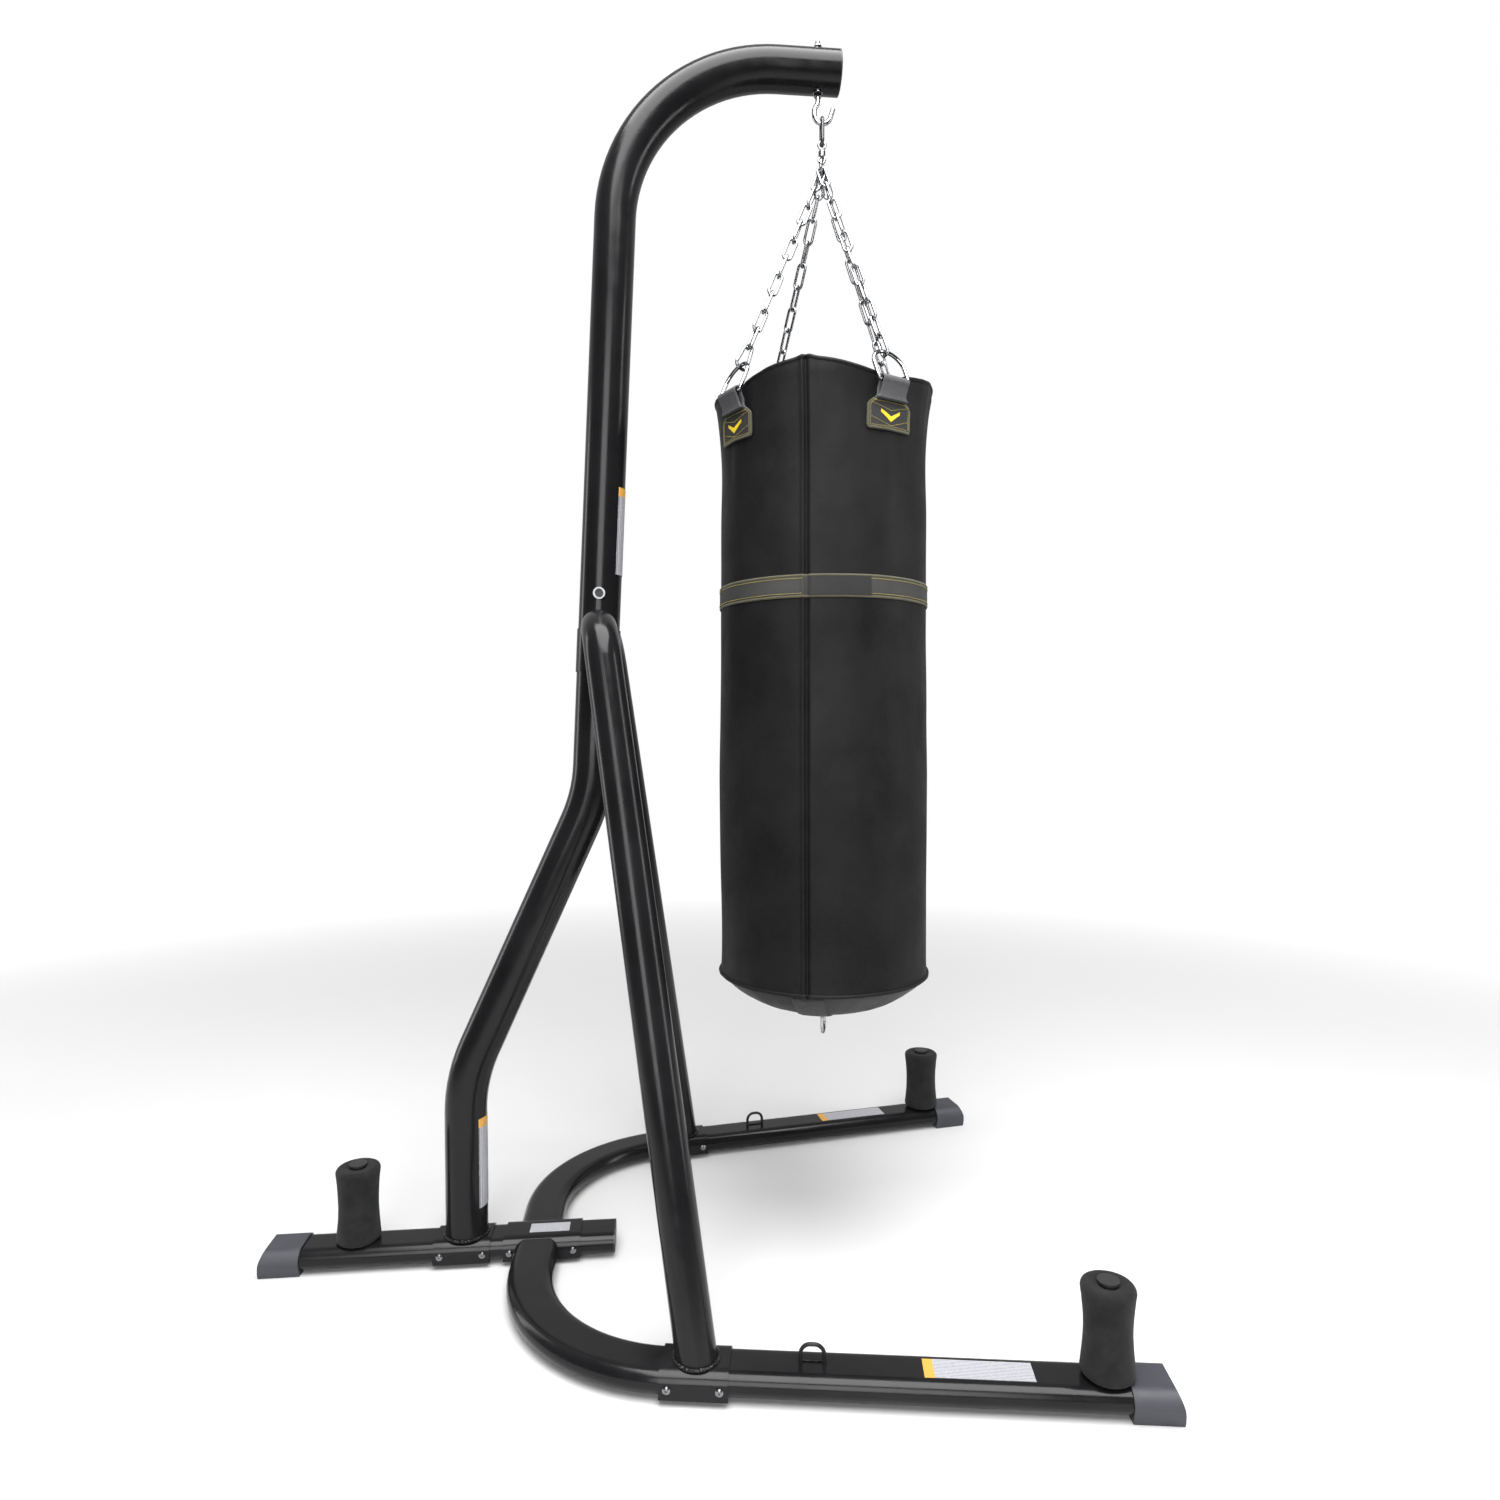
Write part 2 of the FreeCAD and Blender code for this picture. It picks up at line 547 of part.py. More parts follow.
def make_uprights():
    """Lower upright with its two knees, upper upright with the arm, and their joint."""
    side_ref = Vector(0, 1, 0)
    seam = upper_line(JOINT_Z)
    foot_point = Vector(LOWER_X, 0, SADDLE_TOP)
    section = pipe_face(UPRIGHT_RADIUS, UPRIGHT_WALL)
    lower = along_path(section, [foot_point, KNEE_LOW, KNEE_HIGH, seam],
                       [KNEE_RADIUS, KNEE_RADIUS], side_ref)

    arm_corner = upper_line(ARM_Z)
    arm_end = Vector(ARM_END_X, 0, ARM_Z)
    upper = along_path(section, [seam, arm_corner, arm_end], [ARM_RADIUS], side_ref)
    spigot_radius = UPRIGHT_RADIUS - UPRIGHT_WALL - 0.1
    spigot = moved(pipe_face(spigot_radius, UPRIGHT_WALL),
                   axes_at(seam - UPPER_DIRECTION * SPIGOT_LENGTH, UPPER_DIRECTION, side_ref))
    spigot = spigot.extrude(UPPER_DIRECTION * (SPIGOT_LENGTH + SPIGOT_SEAT))
    seat = moved(pipe_face(spigot_radius + 0.5, UPRIGHT_WALL), axes_at(seam, UPPER_DIRECTION, side_ref))
    seat = seat.extrude(UPPER_DIRECTION * SPIGOT_SEAT)

    bolt_spot = upper_line(JOINT_BOLT_Z)
    reach = UPRIGHT_RADIUS
    bolt_hole = cylinder(4.1, bolt_spot - side_ref * 60, bolt_spot + side_ref * 60)
    shank_x = HANG_X - SHANK_OFFSET
    hook_hole = cylinder(HOOK_ROD + 0.1, Vector(shank_x, 0, ARM_Z - 60), Vector(shank_x, 0, ARM_Z + 60))
    save("lower_upright", lower.cut(bolt_hole))
    save("upper_upright", joined([upper, spigot, seat]).cut(bolt_hole).cut(hook_hole))

    near = bolt_spot - side_ref * reach
    far = bolt_spot + side_ref * reach
    washer = Part.makeCylinder(9.6, 2.6, near + side_ref * 0.7, side_ref * -1)
    head = Part.makeCylinder(6.6, 4.4, near - side_ref * 1.9, side_ref * -1)
    hex_socket = Part.makeCylinder(3.2, 3.0, near - side_ref * 3.6, side_ref * -1)
    shank = cylinder(4.0, near - side_ref * 2.0, far + side_ref * 10)
    tube_solid = cylinder(UPRIGHT_RADIUS, upper_line(JOINT_BOLT_Z - 30), upper_line(JOINT_BOLT_Z + 30))
    save("joint_bolt", joined([head, shank]).cut(hex_socket))
    washer_far = Part.makeCylinder(9.6, 2.6, far - side_ref * 0.7, side_ref)
    rod = cylinder(4.0, near - side_ref * 20, far + side_ref * 20)
    save("joint_washers", washer.cut(tube_solid).cut(rod), washer_far.cut(tube_solid).cut(rod))
    nut = hex_prism(13.0, 7.0, far + side_ref * 1.9, side_ref).cut(rod)
    save("joint_nut", nut)

    plug_radius = UPRIGHT_RADIUS - UPRIGHT_WALL - 0.05
    arm_axis = Vector(1, 0, 0)
    plug = Part.makeCylinder(plug_radius, 12.0, arm_end - arm_axis * 12, arm_axis)
    rim = Part.makeCylinder(UPRIGHT_RADIUS, 2.2, arm_end, arm_axis)
    rim = rim.makeFillet(1.2, [edge for edge in rim.Edges if edge.BoundBox.XMin > ARM_END_X + 2.0])
    save("arm_end_plug", joined([plug, rim]))


def hex_prism(across_flats, height, base, direction):
    """Hexagonal nut blank."""
    radius = across_flats / math.sqrt(3)
    corners = [Vector(radius * math.cos(math.radians(60 * k)),
                      radius * math.sin(math.radians(60 * k)), 0) for k in range(7)]
    blank = Part.Face(Part.makePolygon(corners))
    reference = Vector(1, 0, 0) if abs(direction.x) < 0.5 else UP
    return moved(blank, axes_at(base, direction, reference)).extrude(direction * height)


def make_collar_and_legs(more_beads):
    """Collar at the top of the lower upright, the two side legs and all the weld beads."""
    low = upper_line(COLLAR_BOTTOM_Z)
    high = upper_line(COLLAR_TOP_Z)
    collar = cylinder(UPRIGHT_RADIUS + 0.1 + COLLAR_WALL, low, high)
    collar = collar.cut(cylinder(UPRIGHT_RADIUS + 0.1, low, high))
    save("leg_collar", collar)

    core = cylinder(UPRIGHT_RADIUS, upper_line(COLLAR_BOTTOM_Z - 60), upper_line(JOINT_Z + 60))
    collar_solid = cylinder(UPRIGHT_RADIUS + 0.1 + COLLAR_WALL, low, high)
    keep_out = core.fuse(collar_solid)
    beads = []
    for name, side in SIDES.items():
        foot_centre = rail_point(SIDE_SADDLE_X, side, SADDLE_TOP)
        corner = Vector(LEG_CORNER.x, side * LEG_CORNER.y, LEG_CORNER.z)
        slope = (corner - foot_centre).normalize()
        start = foot_centre - slope * 40
        end = Vector(upper_line(LEG_TOP_Z).x, side * UPRIGHT_RADIUS * 0.4, LEG_TOP_Z)
        leg = along_path(pipe_face(LEG_RADIUS, TUBE_WALL), [start, corner, end],
                         [LEG_BEND_RADIUS], Vector(1, 0, 0))
        below = Part.makeBox(200, 200, 200, Vector(foot_centre.x - 100, foot_centre.y - 100,
                                                   SADDLE_TOP - 200))
        save("side_leg_" + name, leg.cut(keep_out).cut(below))
        beads.append(weld_ellipse(foot_centre, slope, LEG_RADIUS, SADDLE_TOP))
    beads.append(ring_bead(UPRIGHT_RADIUS + 1.2, 2.6, Vector(LOWER_X, 0, SADDLE_TOP + 1.0), UP))
    tube_solids = [cylinder(UPRIGHT_RADIUS, Vector(LOWER_X, 0, 0), Vector(LOWER_X, 0, 200))]
    for side in SIDES.values():
        foot_centre = rail_point(SIDE_SADDLE_X, side, SADDLE_TOP)
        corner = Vector(LEG_CORNER.x, side * LEG_CORNER.y, LEG_CORNER.z)
        slope = (corner - foot_centre).normalize()
        tube_solids.append(cylinder(LEG_RADIUS, foot_centre - slope * 60, foot_centre + slope * 100))
    plate_space = Part.makeBox(1200, 1200, SADDLE_TOP, Vector(-600, -600, 0))
    cutters = Part.makeCompound(tube_solids + [plate_space])
    save("weld_beads", *([bead.cut(cutters) for bead in beads] + more_beads))


def weld_ellipse(centre, slope, radius, z):
    """Bead round the foot of a leaning tube, as a ring leaning with the cut."""
    bead = ring_bead(radius + 1.4, 2.6, Vector(0, 0, 0), UP)
    stretch = 1 / slope.z
    heading = math.degrees(math.atan2(slope.y, slope.x))
    matrix = FreeCAD.Matrix()
    matrix.rotateZ(math.radians(-heading))
    widen = FreeCAD.Matrix()
    widen.scale(Vector(stretch, 1, 1))
    back = FreeCAD.Matrix()
    back.rotateZ(math.radians(heading))
    shape = bead.transformGeometry(back.multiply(widen).multiply(matrix))
    shape.translate(Vector(centre.x, centre.y, z + 1.0))
    return shape


# --- hook, link and swivel ----------------------------------------------------------------------

def make_hook():
    """J-bolt through the arm, with its nuts, washers and the first hanging link."""
    shank_x = HANG_X - SHANK_OFFSET
    left_x = HANG_X - HOOK_RADIUS
    right_x = HANG_X + HOOK_RADIUS
    lean = math.radians(18)
    rise = 24.0
    path = [
        Vector(shank_x, 0, HOOK_TOP_Z),
        Vector(shank_x, 0, 1899.0),
        Vector(left_x, 0, 1889.0),
        Vector(left_x, 0, HOOK_BOTTOM_Z),
        Vector(right_x - 1.5, 0, HOOK_BOTTOM_Z),
        Vector(right_x - 1.5 + rise * math.tan(lean), 0, HOOK_BOTTOM_Z + rise),
    ]
    hook = along_path(disc_face(HOOK_ROD), path, [8.0, 8.0, HOOK_RADIUS, HOOK_RADIUS], Vector(0, 1, 0))
    save("hook_bolt", hook)

    arm_top = ARM_Z + UPRIGHT_RADIUS
    arm_low = ARM_Z - UPRIGHT_RADIUS
    rod = cylinder(HOOK_ROD, Vector(shank_x, 0, 1850), Vector(shank_x, 0, 2010))
    arm_solid = cylinder(UPRIGHT_RADIUS, Vector(shank_x - 40, 0, ARM_Z), Vector(shank_x + 40, 0, ARM_Z))
    washer_top = Part.makeCylinder(HOOK_WASHER, 4.0, Vector(shank_x, 0, arm_top - 2.5))
    washer_low = Part.makeCylinder(HOOK_WASHER, 4.0, Vector(shank_x, 0, arm_low - 1.5))
    save("hook_washers", washer_top.cut(arm_solid).cut(rod), washer_low.cut(arm_solid).cut(rod))
    top_nut = hex_prism(HOOK_NUT, 6.0, Vector(shank_x, 0, arm_top + 1.5), UP)
    dome = Part.makeSphere(HOOK_NUT / 2 - 0.2, Vector(shank_x, 0, arm_top + 7.5), UP, 0, 90, 360)
    save("hook_acorn_nut", joined([top_nut, dome]).cut(rod))
    low_nut = hex_prism(HOOK_NUT, 5.5, Vector(shank_x, 0, arm_low - 7.0), UP)
    save("hook_lock_nut", low_nut.cut(rod))


def stadium_link(centre, along, normal, half_length, half_width, wire):
    """Closed link: half_length and half_width reach to the wire's centre."""
    across = normal.cross(along)
    bend = half_width - 0.01
    top = along * half_length
    side = across * half_width
    path = [
        centre + side,
        centre + side + top,
        centre - side + top,
        centre - side - top,
        centre + side - top,
        centre + side,
    ]
    return along_path(disc_face(wire), path, [bend] * 4, normal)


def make_link_and_swivel():
    """Hanging link, swivel eye, swivel barrel and the ring that gathers the chains."""
    top_centre = HOOK_BOTTOM_Z + LINK_RADIUS
    half = (top_centre - LINK_BOTTOM_Z) / 2
    middle = Vector(HANG_X, 0, (top_centre + LINK_BOTTOM_Z) / 2)
    save("hanging_link", stadium_link(middle, UP, Vector(1, 0, 0), half, LINK_RADIUS, LINK_WIRE))

    eye_centre = Vector(HANG_X, 0, LINK_BOTTOM_Z)
    eye = Part.makeTorus(EYE_RADIUS, EYE_WIRE, eye_centre, Vector(0, 1, 0))
    neck_top = LINK_BOTTOM_Z - EYE_RADIUS
    head_low = Vector(HANG_X, 0, SWIVEL_HEAD_Z)
    stem = cylinder(SWIVEL_STEM, head_low + UP, Vector(HANG_X, 0, neck_top))
    head = Part.makeCylinder(SWIVEL_HEAD, SWIVEL_HEAD_HEIGHT, head_low)
    save("swivel_eye", joined([eye, stem, head]))

    barrel = Part.makeCylinder(SWIVEL_BARREL, BARREL_TOP_Z - BARREL_BOTTOM_Z,
                               Vector(HANG_X, 0, BARREL_BOTTOM_Z))
    barrel = barrel.makeFillet(1.5, barrel.Edges)
    chamber = Part.makeCylinder(SWIVEL_HEAD + SWIVEL_PLAY, SWIVEL_HEAD_HEIGHT + 2 * SWIVEL_PLAY,
                                head_low - UP * SWIVEL_PLAY)
    bore = cylinder(SWIVEL_STEM + SWIVEL_PLAY, head_low, Vector(HANG_X, 0, BARREL_TOP_Z + 1))
    ring_normal = azimuth(SEAM_AZIMUTH + math.pi / 2)
    ring_centre = Vector(HANG_X, 0, RING_Z)
    hanger_z = RING_Z + RING_RADIUS
    lug = Part.makeTorus(LUG_RADIUS, LUG_WIRE, Vector(HANG_X, 0, hanger_z), azimuth(SEAM_AZIMUTH))
    save("swivel_barrel", joined([barrel, lug]).cut(chamber).cut(bore))
    save("chain_ring", Part.makeTorus(RING_RADIUS, RING_WIRE, ring_centre, ring_normal))


# --- chains and their rings ---------------------------------------------------------------------

def ring_seat(bearing):
    """Centre of the gathering ring's wire where a chain hangs on it."""
    angle = math.radians(RING_SEATS[bearing])
    outward = azimuth(SEAM_AZIMUTH)
    return Vector(HANG_X, 0, RING_Z) + outward * (RING_RADIUS * math.sin(angle)) \
        - UP * (RING_RADIUS * math.cos(angle))


def dring_frame(bearing):
    """Bar centre, bar direction and pull direction of a strap's D-ring."""
    angle = math.radians(bearing)
    bar = about_hang(azimuth(angle, DRING_BAR_R, DRING_BAR_Z))
    tangent = azimuth(angle + math.pi / 2)
    pull = (ring_seat(bearing) - bar).normalize()
    pull = (pull - tangent * pull.dot(tangent)).normalize()
    return bar, tangent, pull


def dring(bearing):
    bar, tangent, pull = dring_frame(bearing)
    side = tangent * DRING_HALF_WIDTH
    rise = pull * DRING_HEIGHT
    arch = DRING_HALF_WIDTH - 2.0
    path = [bar, bar + side, bar + side + rise, bar - side + rise, bar - side, bar]
    return along_path(disc_face(DRING_WIRE), path, [DRING_BEND, arch, arch, DRING_BEND],
                      tangent.cross(pull))


def pear_link(start, along, normal):
    """Pear-shaped connector: narrow at the chain, wide at the D-ring."""
    across = normal.cross(along)
    narrow = 6.0
    wide = 11.0
    tip = start
    base = start + along * PEAR_LENGTH
    path = [
        tip,
        tip + across * narrow,
        base + across * wide,
        base - across * wide,
        tip - across * narrow,
        tip,
    ]
    return along_path(disc_face(PEAR_WIRE), path, [4.6, 8.0, 8.0, 4.6], normal)


def make_chains():
    """Four taut chains from the gathering ring to the D-rings on the bag."""
    names = {207: "rear_right", 297: "front_right", 27: "front_left", 117: "rear_left"}
    ring_normal = azimuth(SEAM_AZIMUTH + math.pi / 2)
    rings = []
    for bearing, name in names.items():
        bar, tangent, pull = dring_frame(bearing)
        rings.append(dring(bearing))
        upper = ring_seat(bearing)
        lower = bar + pull * DRING_HEIGHT
        with_pear = bearing == 207
        seat_gap = RING_WIRE + CHAIN_WIRE + RING_PLAY
        along = (lower - upper).normalize()
        first = upper - along * seat_gap
        if with_pear:
            pear_tip = lower + along * (PEAR_WIRE + DRING_WIRE + CHAIN_PLAY) - along * PEAR_LENGTH
            last = pear_tip + along * (PEAR_WIRE + CHAIN_WIRE + 2 * CHAIN_PLAY)
            count = CHAIN_LINKS - 1
        else:
            last = lower + along * (DRING_WIRE + CHAIN_WIRE + 2 * CHAIN_PLAY)
            count = CHAIN_LINKS
        # the links share the distance, each one reaching through its neighbour
        overlap = 2 * CHAIN_WIRE + CHAIN_PLAY
        length = ((last - first).Length + (count - 1) * overlap) / count
        across_ring = squared(ring_tangent(bearing), along)
        across_dring = squared(tangent, along)
        end_normal = along.cross(across_dring) if with_pear else across_dring
        normals = link_normals(across_ring, end_normal, along, count)
        links = []
        for index, normal in enumerate(normals):
            middle = first + along * (length / 2 + index * (length - overlap))
            links.append(stadium_link(middle, along, normal, length / 2, CHAIN_HALF_WIDTH, CHAIN_WIRE))
        save("chain_" + name, *links)
        if with_pear:
            save("pear_link", pear_link(pear_tip, along, across_dring))
    save("strap_rings", *rings)


def ring_tangent(bearing):
    """Direction of the gathering ring's wire at a chain's seat."""
    angle = math.radians(RING_SEATS[bearing])
    return azimuth(SEAM_AZIMUTH) * math.cos(angle) + UP * math.sin(angle)


def squared(direction, along):
    """Unit vector nearest to direction that is square to along."""
    return (direction - along * direction.dot(along)).normalize()


def link_normals(first, last, along, count):
    """Planes of a chain's links: a quarter turn each, slightly twisted so that both ends fit."""
    side = along.cross(first)
    total = math.atan2(last.dot(side), last.dot(first))
    quarter = math.pi / 2
    spare = (total - quarter * (count - 1)) % math.pi
    if spare > quarter:
        spare -= math.pi
    step = quarter + spare / (count - 1)
    return [first * math.cos(step * k) + side * math.sin(step * k) for k in range(count)]


# --- bag ----------------------------------------------------------------------------------------

def dome_z(radius, offset=0.0):
    """Height of the sagging bottom panel at a distance from the axis."""
    share = min(radius / BAG_RADIUS, 1.0)
    return BAG_BOTTOM_Z - offset - BAG_DOME * (1 - share ** 3)


def dome_curve(outer_radius, offset):
    """Smooth lower edge from the axis out to a radius."""
    steps = 7
    points = [Vector(outer_radius * k / steps, 0, dome_z(outer_radius * k / steps, offset))
              for k in range(steps + 1)]
    spline = Part.BSplineCurve()
    spline.interpolate(points)
    return spline.toShape(), points


def domed_body(outer_radius, offset, top_z):
    """Solid of revolution with the sagging bottom and a flat top."""
    curve, points = dome_curve(outer_radius, offset)
    edge = points[-1]
    edges = [
        curve,
        Part.LineSegment(edge, Vector(edge.x, 0, top_z)).toShape(),
        Part.LineSegment(Vector(edge.x, 0, top_z), Vector(0, 0, top_z)).toShape(),
        Part.LineSegment(Vector(0, 0, top_z), points[0]).toShape(),
    ]
    body = Part.Face(Part.Wire(edges)).revolve(Vector(0, 0, 0), UP, 360)
    body.translate(Vector(HANG_X, 0, 0))
    return body


def tab_faces():
    """Sections of a strap tab on the XZ plane: its plate, the fold round the ring's bar, and the fold's hollow."""
    inner = BAG_RADIUS + STRAP_GAP
    outer = inner + TAB_THICKNESS
    doubled = outer + TAB_THICKNESS * 0.8
    fold = Vector(DRING_BAR_R + FOLD_SHIFT, 0, DRING_BAR_Z)
    fold_outer = FOLD_RADIUS + TAB_THICKNESS
    corners = [Vector(inner, 0, TAB_BOTTOM_Z), Vector(outer, 0, TAB_BOTTOM_Z), Vector(outer, 0, TAB_SHOULDER_Z),
               Vector(doubled, 0, TAB_SHOULDER_Z + 2), fold + Vector(fold_outer * 0.8, 0, -fold_outer * 0.5),
               fold, Vector(inner, 0, DRING_BAR_Z)]
    plate = Part.Face(Part.makePolygon(corners + corners[:1]))
    discs = [Part.Face(Part.Wire([Part.makeCircle(radius, fold, Vector(0, 1, 0))]))
             for radius in (fold_outer, FOLD_RADIUS)]
    return [plate] + discs


def strap_tab(bearing):
    """Sewn tab that flares down the bag's side and folds round its D-ring's bar."""
    spread = 16.0
    swept = []
    for face in tab_faces():
        face.rotate(Vector(0, 0, 0), UP, -spread)
        swept.append(face.revolve(Vector(0, 0, 0), UP, 2 * spread))
    plate, fold, hollow = swept
    body = plate.fuse(fold).removeSplitter().cut(hollow)
    half_top = TAB_TOP_WIDTH / 2
    half_low = TAB_BOTTOM_WIDTH / 2
    shoulder_low = TAB_SHOULDER_Z - TAB_SHOULDER_DROP
    top = DRING_BAR_Z + 30
    outline = [(-half_low, TAB_BOTTOM_Z - 1), (half_low, TAB_BOTTOM_Z - 1), (half_low, shoulder_low),
               (half_top, TAB_SHOULDER_Z), (half_top, top), (-half_top, top),
               (-half_top, TAB_SHOULDER_Z), (-half_low, shoulder_low)]
    corners = [Vector(100, t, z) for t, z in outline]
    prism = Part.Face(Part.makePolygon(corners + corners[:1])).extrude(Vector(150, 0, 0))
    tab = body.common(prism)
    tab.rotate(Vector(0, 0, 0), UP, bearing)
    tab.translate(Vector(HANG_X, 0, 0))
    return tab.Solids[0]


def make_bag():
    """Skin, bottom panel, liner, filling, lid, piping, belt and the four tabs."""
    skin_inner = BAG_RADIUS - BAG_SKIN
    axis = Vector(HANG_X, 0, 0)
    base = axis + UP * (BAG_BOTTOM_Z + BAG_SKIN)
    height = BAG_TOP_Z - BAG_BOTTOM_Z - BAG_SKIN
    tube = Part.makeCylinder(BAG_RADIUS, height, base)
    save("bag_skin", tube.cut(Part.makeCylinder(skin_inner, height, base)))

    bottom_outer = domed_body(BAG_RADIUS, 0.0, BAG_BOTTOM_Z + 40)
    bottom_inner = domed_body(BAG_RADIUS, -BAG_SKIN, BAG_BOTTOM_Z + 40)
    save("bag_bottom_panel", bottom_outer.cut(bottom_inner))

    liner_outer = skin_inner - 0.2
    fill_outer = liner_outer - BAG_LINER
    outer_block = domed_body(liner_outer, -BAG_SKIN - 0.5, BAG_LID_Z - 1)
    inner_block = domed_body(fill_outer, -BAG_SKIN - BAG_LINER, BAG_LID_Z + 20)
    save("bag_liner", outer_block.cut(inner_block))
    save("bag_filling", domed_body(fill_outer - 0.3, -BAG_SKIN - BAG_LINER - 0.5, BAG_LID_Z - 1))
    save("bag_lid", Part.makeCylinder(skin_inner - 0.2, BAG_SKIN, axis + UP * BAG_LID_Z))

    tabs = {bearing: strap_tab(bearing) for bearing in RING_SEATS}
    names = {207: "rear_right", 297: "front_right", 27: "front_left", 117: "rear_left"}
    for bearing, tab in tabs.items():
        save("strap_tab_" + names[bearing], tab)
    rim = Part.makeTorus(BAG_RADIUS - BAG_SKIN / 2, PIPING_RADIUS, axis + UP * BAG_TOP_Z, UP)
    keep = Part.makeCylinder(BAG_RADIUS + 20, 60, axis + UP * BAG_TOP_Z)
    rim = rim.common(keep)
    for tab in tabs.values():
        rim = rim.cut(tab)
    save("bag_rim_piping", *rim.Solids)

    belt_inner = BAG_RADIUS + 0.1
    low = axis + UP * (BELT_Z - BELT_WIDTH / 2)
    belt = Part.makeCylinder(belt_inner + BELT_THICKNESS, BELT_WIDTH, low)
    save("bag_belt", belt.cut(Part.makeCylinder(belt_inner, BELT_WIDTH, low)))


def make_bottom_strap():
    """Webbing across the bottom panel and the tie-down ring that hangs from it."""
    along = azimuth(SEAM_AZIMUTH)
    across = azimuth(SEAM_AZIMUTH + math.pi / 2)
    shell = domed_body(BAG_RADIUS, STRAP_GAP + BOTTOM_STRAP_THICKNESS, BAG_BOTTOM_Z - 0.5)
    shell = shell.cut(domed_body(BAG_RADIUS, STRAP_GAP, BAG_BOTTOM_Z + 40))
    half = BOTTOM_STRAP_WIDTH / 2
    reach = BAG_RADIUS - 2
    corners = [about_hang(along * a + across * b) + UP * 300
               for a, b in ((-reach, -half), (reach, -half), (reach, half), (-reach, half))]
    prism = Part.Face(Part.makePolygon(corners + corners[:1])).extrude(UP * 200)
    strap = shell.common(prism)
    bar = Vector(HANG_X, 0, BOTTOM_BAR_Z)
    tab_half = 10.0
    inner = BOTTOM_RING_WIRE + 0.6
    outer = inner + 2.4
    fold = Part.makeCylinder(outer, 2 * tab_half, bar - along * tab_half, along)
    strap_low = dome_z(0, STRAP_GAP + BOTTOM_STRAP_THICKNESS)
    web_corners = [bar - along * tab_half + across * b + UP * z
                   for b, z in ((-2.4, 0), (2.4, 0), (2.4, strap_low - BOTTOM_BAR_Z + 1),
                                (-2.4, strap_low - BOTTOM_BAR_Z + 1))]
    web = Part.Face(Part.makePolygon(web_corners + web_corners[:1])).extrude(along * (2 * tab_half))
    hollow = Part.makeCylinder(inner, 2 * tab_half, bar - along * tab_half, along)
    save("bottom_strap", joined([strap, web.fuse(fold)]).cut(hollow))

    side = along * BOTTOM_RING_HALF
    drop = UP * -BOTTOM_RING_HEIGHT
    arch = BOTTOM_RING_HALF - 1.0
    path = [bar, bar + side, bar + side + drop, bar - side + drop, bar - side, bar]
    ring = along_path(disc_face(BOTTOM_RING_WIRE), path, [4.0, arch, arch, 4.0], across)
    save("bottom_ring", ring)


# --- labels -------------------------------------------------------------------------------------

def make_labels():
    """Plain printed labels: one on each rail, one on the centre saddle, two on the uprights."""
    rail_labels = []
    for side in SIDES.values():
        direction = rail_direction(side)
        across = UP.cross(direction)
        middle = rail_point(394.0, side, BASE_TOP)
        corner = middle - direction * 70 - across * 18
        corners = [corner, corner + direction * 140, corner + direction * 140 + across * 36,
                   corner + across * 36]
        outline = Part.Face(Part.makePolygon(corners + corners[:1]))
        rail_labels.append(outline.extrude(UP * LABEL_THICKNESS))
    save("rail_labels", *rail_labels)
    save("saddle_label", Part.makeBox(64, 27, LABEL_THICKNESS, Vector(-225.5, -14.7, SADDLE_TOP)))

    def curved_label(start, end):
        """Label wrapped on the front of an upright between two points of its centre line."""
        sleeve = cylinder(UPRIGHT_RADIUS + UPRIGHT_LABEL_THICKNESS, start, end)
        sleeve = sleeve.cut(cylinder(UPRIGHT_RADIUS, start, end))
        height = end.z - start.z
        window = Part.makeBox(60, UPRIGHT_LABEL_WIDTH, height + 20,
                              Vector(start.x + 10, -UPRIGHT_LABEL_WIDTH / 2, start.z - 10))
        return sleeve.common(window)

    lower_ends = [Vector(LOWER_X, 0, z) for z in LOWER_LABEL_Z]
    upper_ends = [upper_line(z) for z in UPPER_LABEL_Z]
    upright_labels = [curved_label(*lower_ends), curved_label(*upper_ends)]
    save("upright_labels", *upright_labels)


os.makedirs("parts", exist_ok=True)
make_base()
make_feet()
make_pegs()
loop_beads = make_loops()
make_uprights()
make_collar_and_legs(loop_beads)
make_hook()
make_link_and_swivel()
make_chains()
make_bag()
make_bottom_strap()
make_labels()
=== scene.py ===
import math

import bmesh
import bpy
from mathutils import Matrix, Vector, noise


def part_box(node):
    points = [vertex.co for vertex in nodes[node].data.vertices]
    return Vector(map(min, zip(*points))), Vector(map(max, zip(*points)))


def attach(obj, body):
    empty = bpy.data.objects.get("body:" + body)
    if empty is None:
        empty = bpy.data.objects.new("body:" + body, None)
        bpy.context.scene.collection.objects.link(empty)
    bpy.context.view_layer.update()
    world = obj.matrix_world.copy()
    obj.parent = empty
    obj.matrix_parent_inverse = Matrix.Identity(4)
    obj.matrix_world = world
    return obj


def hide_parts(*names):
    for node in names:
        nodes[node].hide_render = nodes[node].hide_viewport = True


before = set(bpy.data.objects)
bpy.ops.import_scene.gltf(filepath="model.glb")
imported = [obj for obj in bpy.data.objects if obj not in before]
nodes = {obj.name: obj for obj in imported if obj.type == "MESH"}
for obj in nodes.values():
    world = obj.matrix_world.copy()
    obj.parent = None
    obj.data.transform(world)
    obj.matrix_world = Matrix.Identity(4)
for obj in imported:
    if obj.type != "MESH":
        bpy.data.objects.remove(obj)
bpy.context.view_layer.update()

# --- camera. Lengths below are in metres and angles in radians, unless a comment says otherwise ---
CAMERA_PLACE = Vector((-0.0108, -1.5778, 0.8677))
CAMERA_YAW = 0.0959
CAMERA_PITCH = -0.0237
CAMERA_ROLL = -0.0034
CAMERA_LENS = 22.8  # lens and sensor in millimetres
CAMERA_SENSOR = 36.0

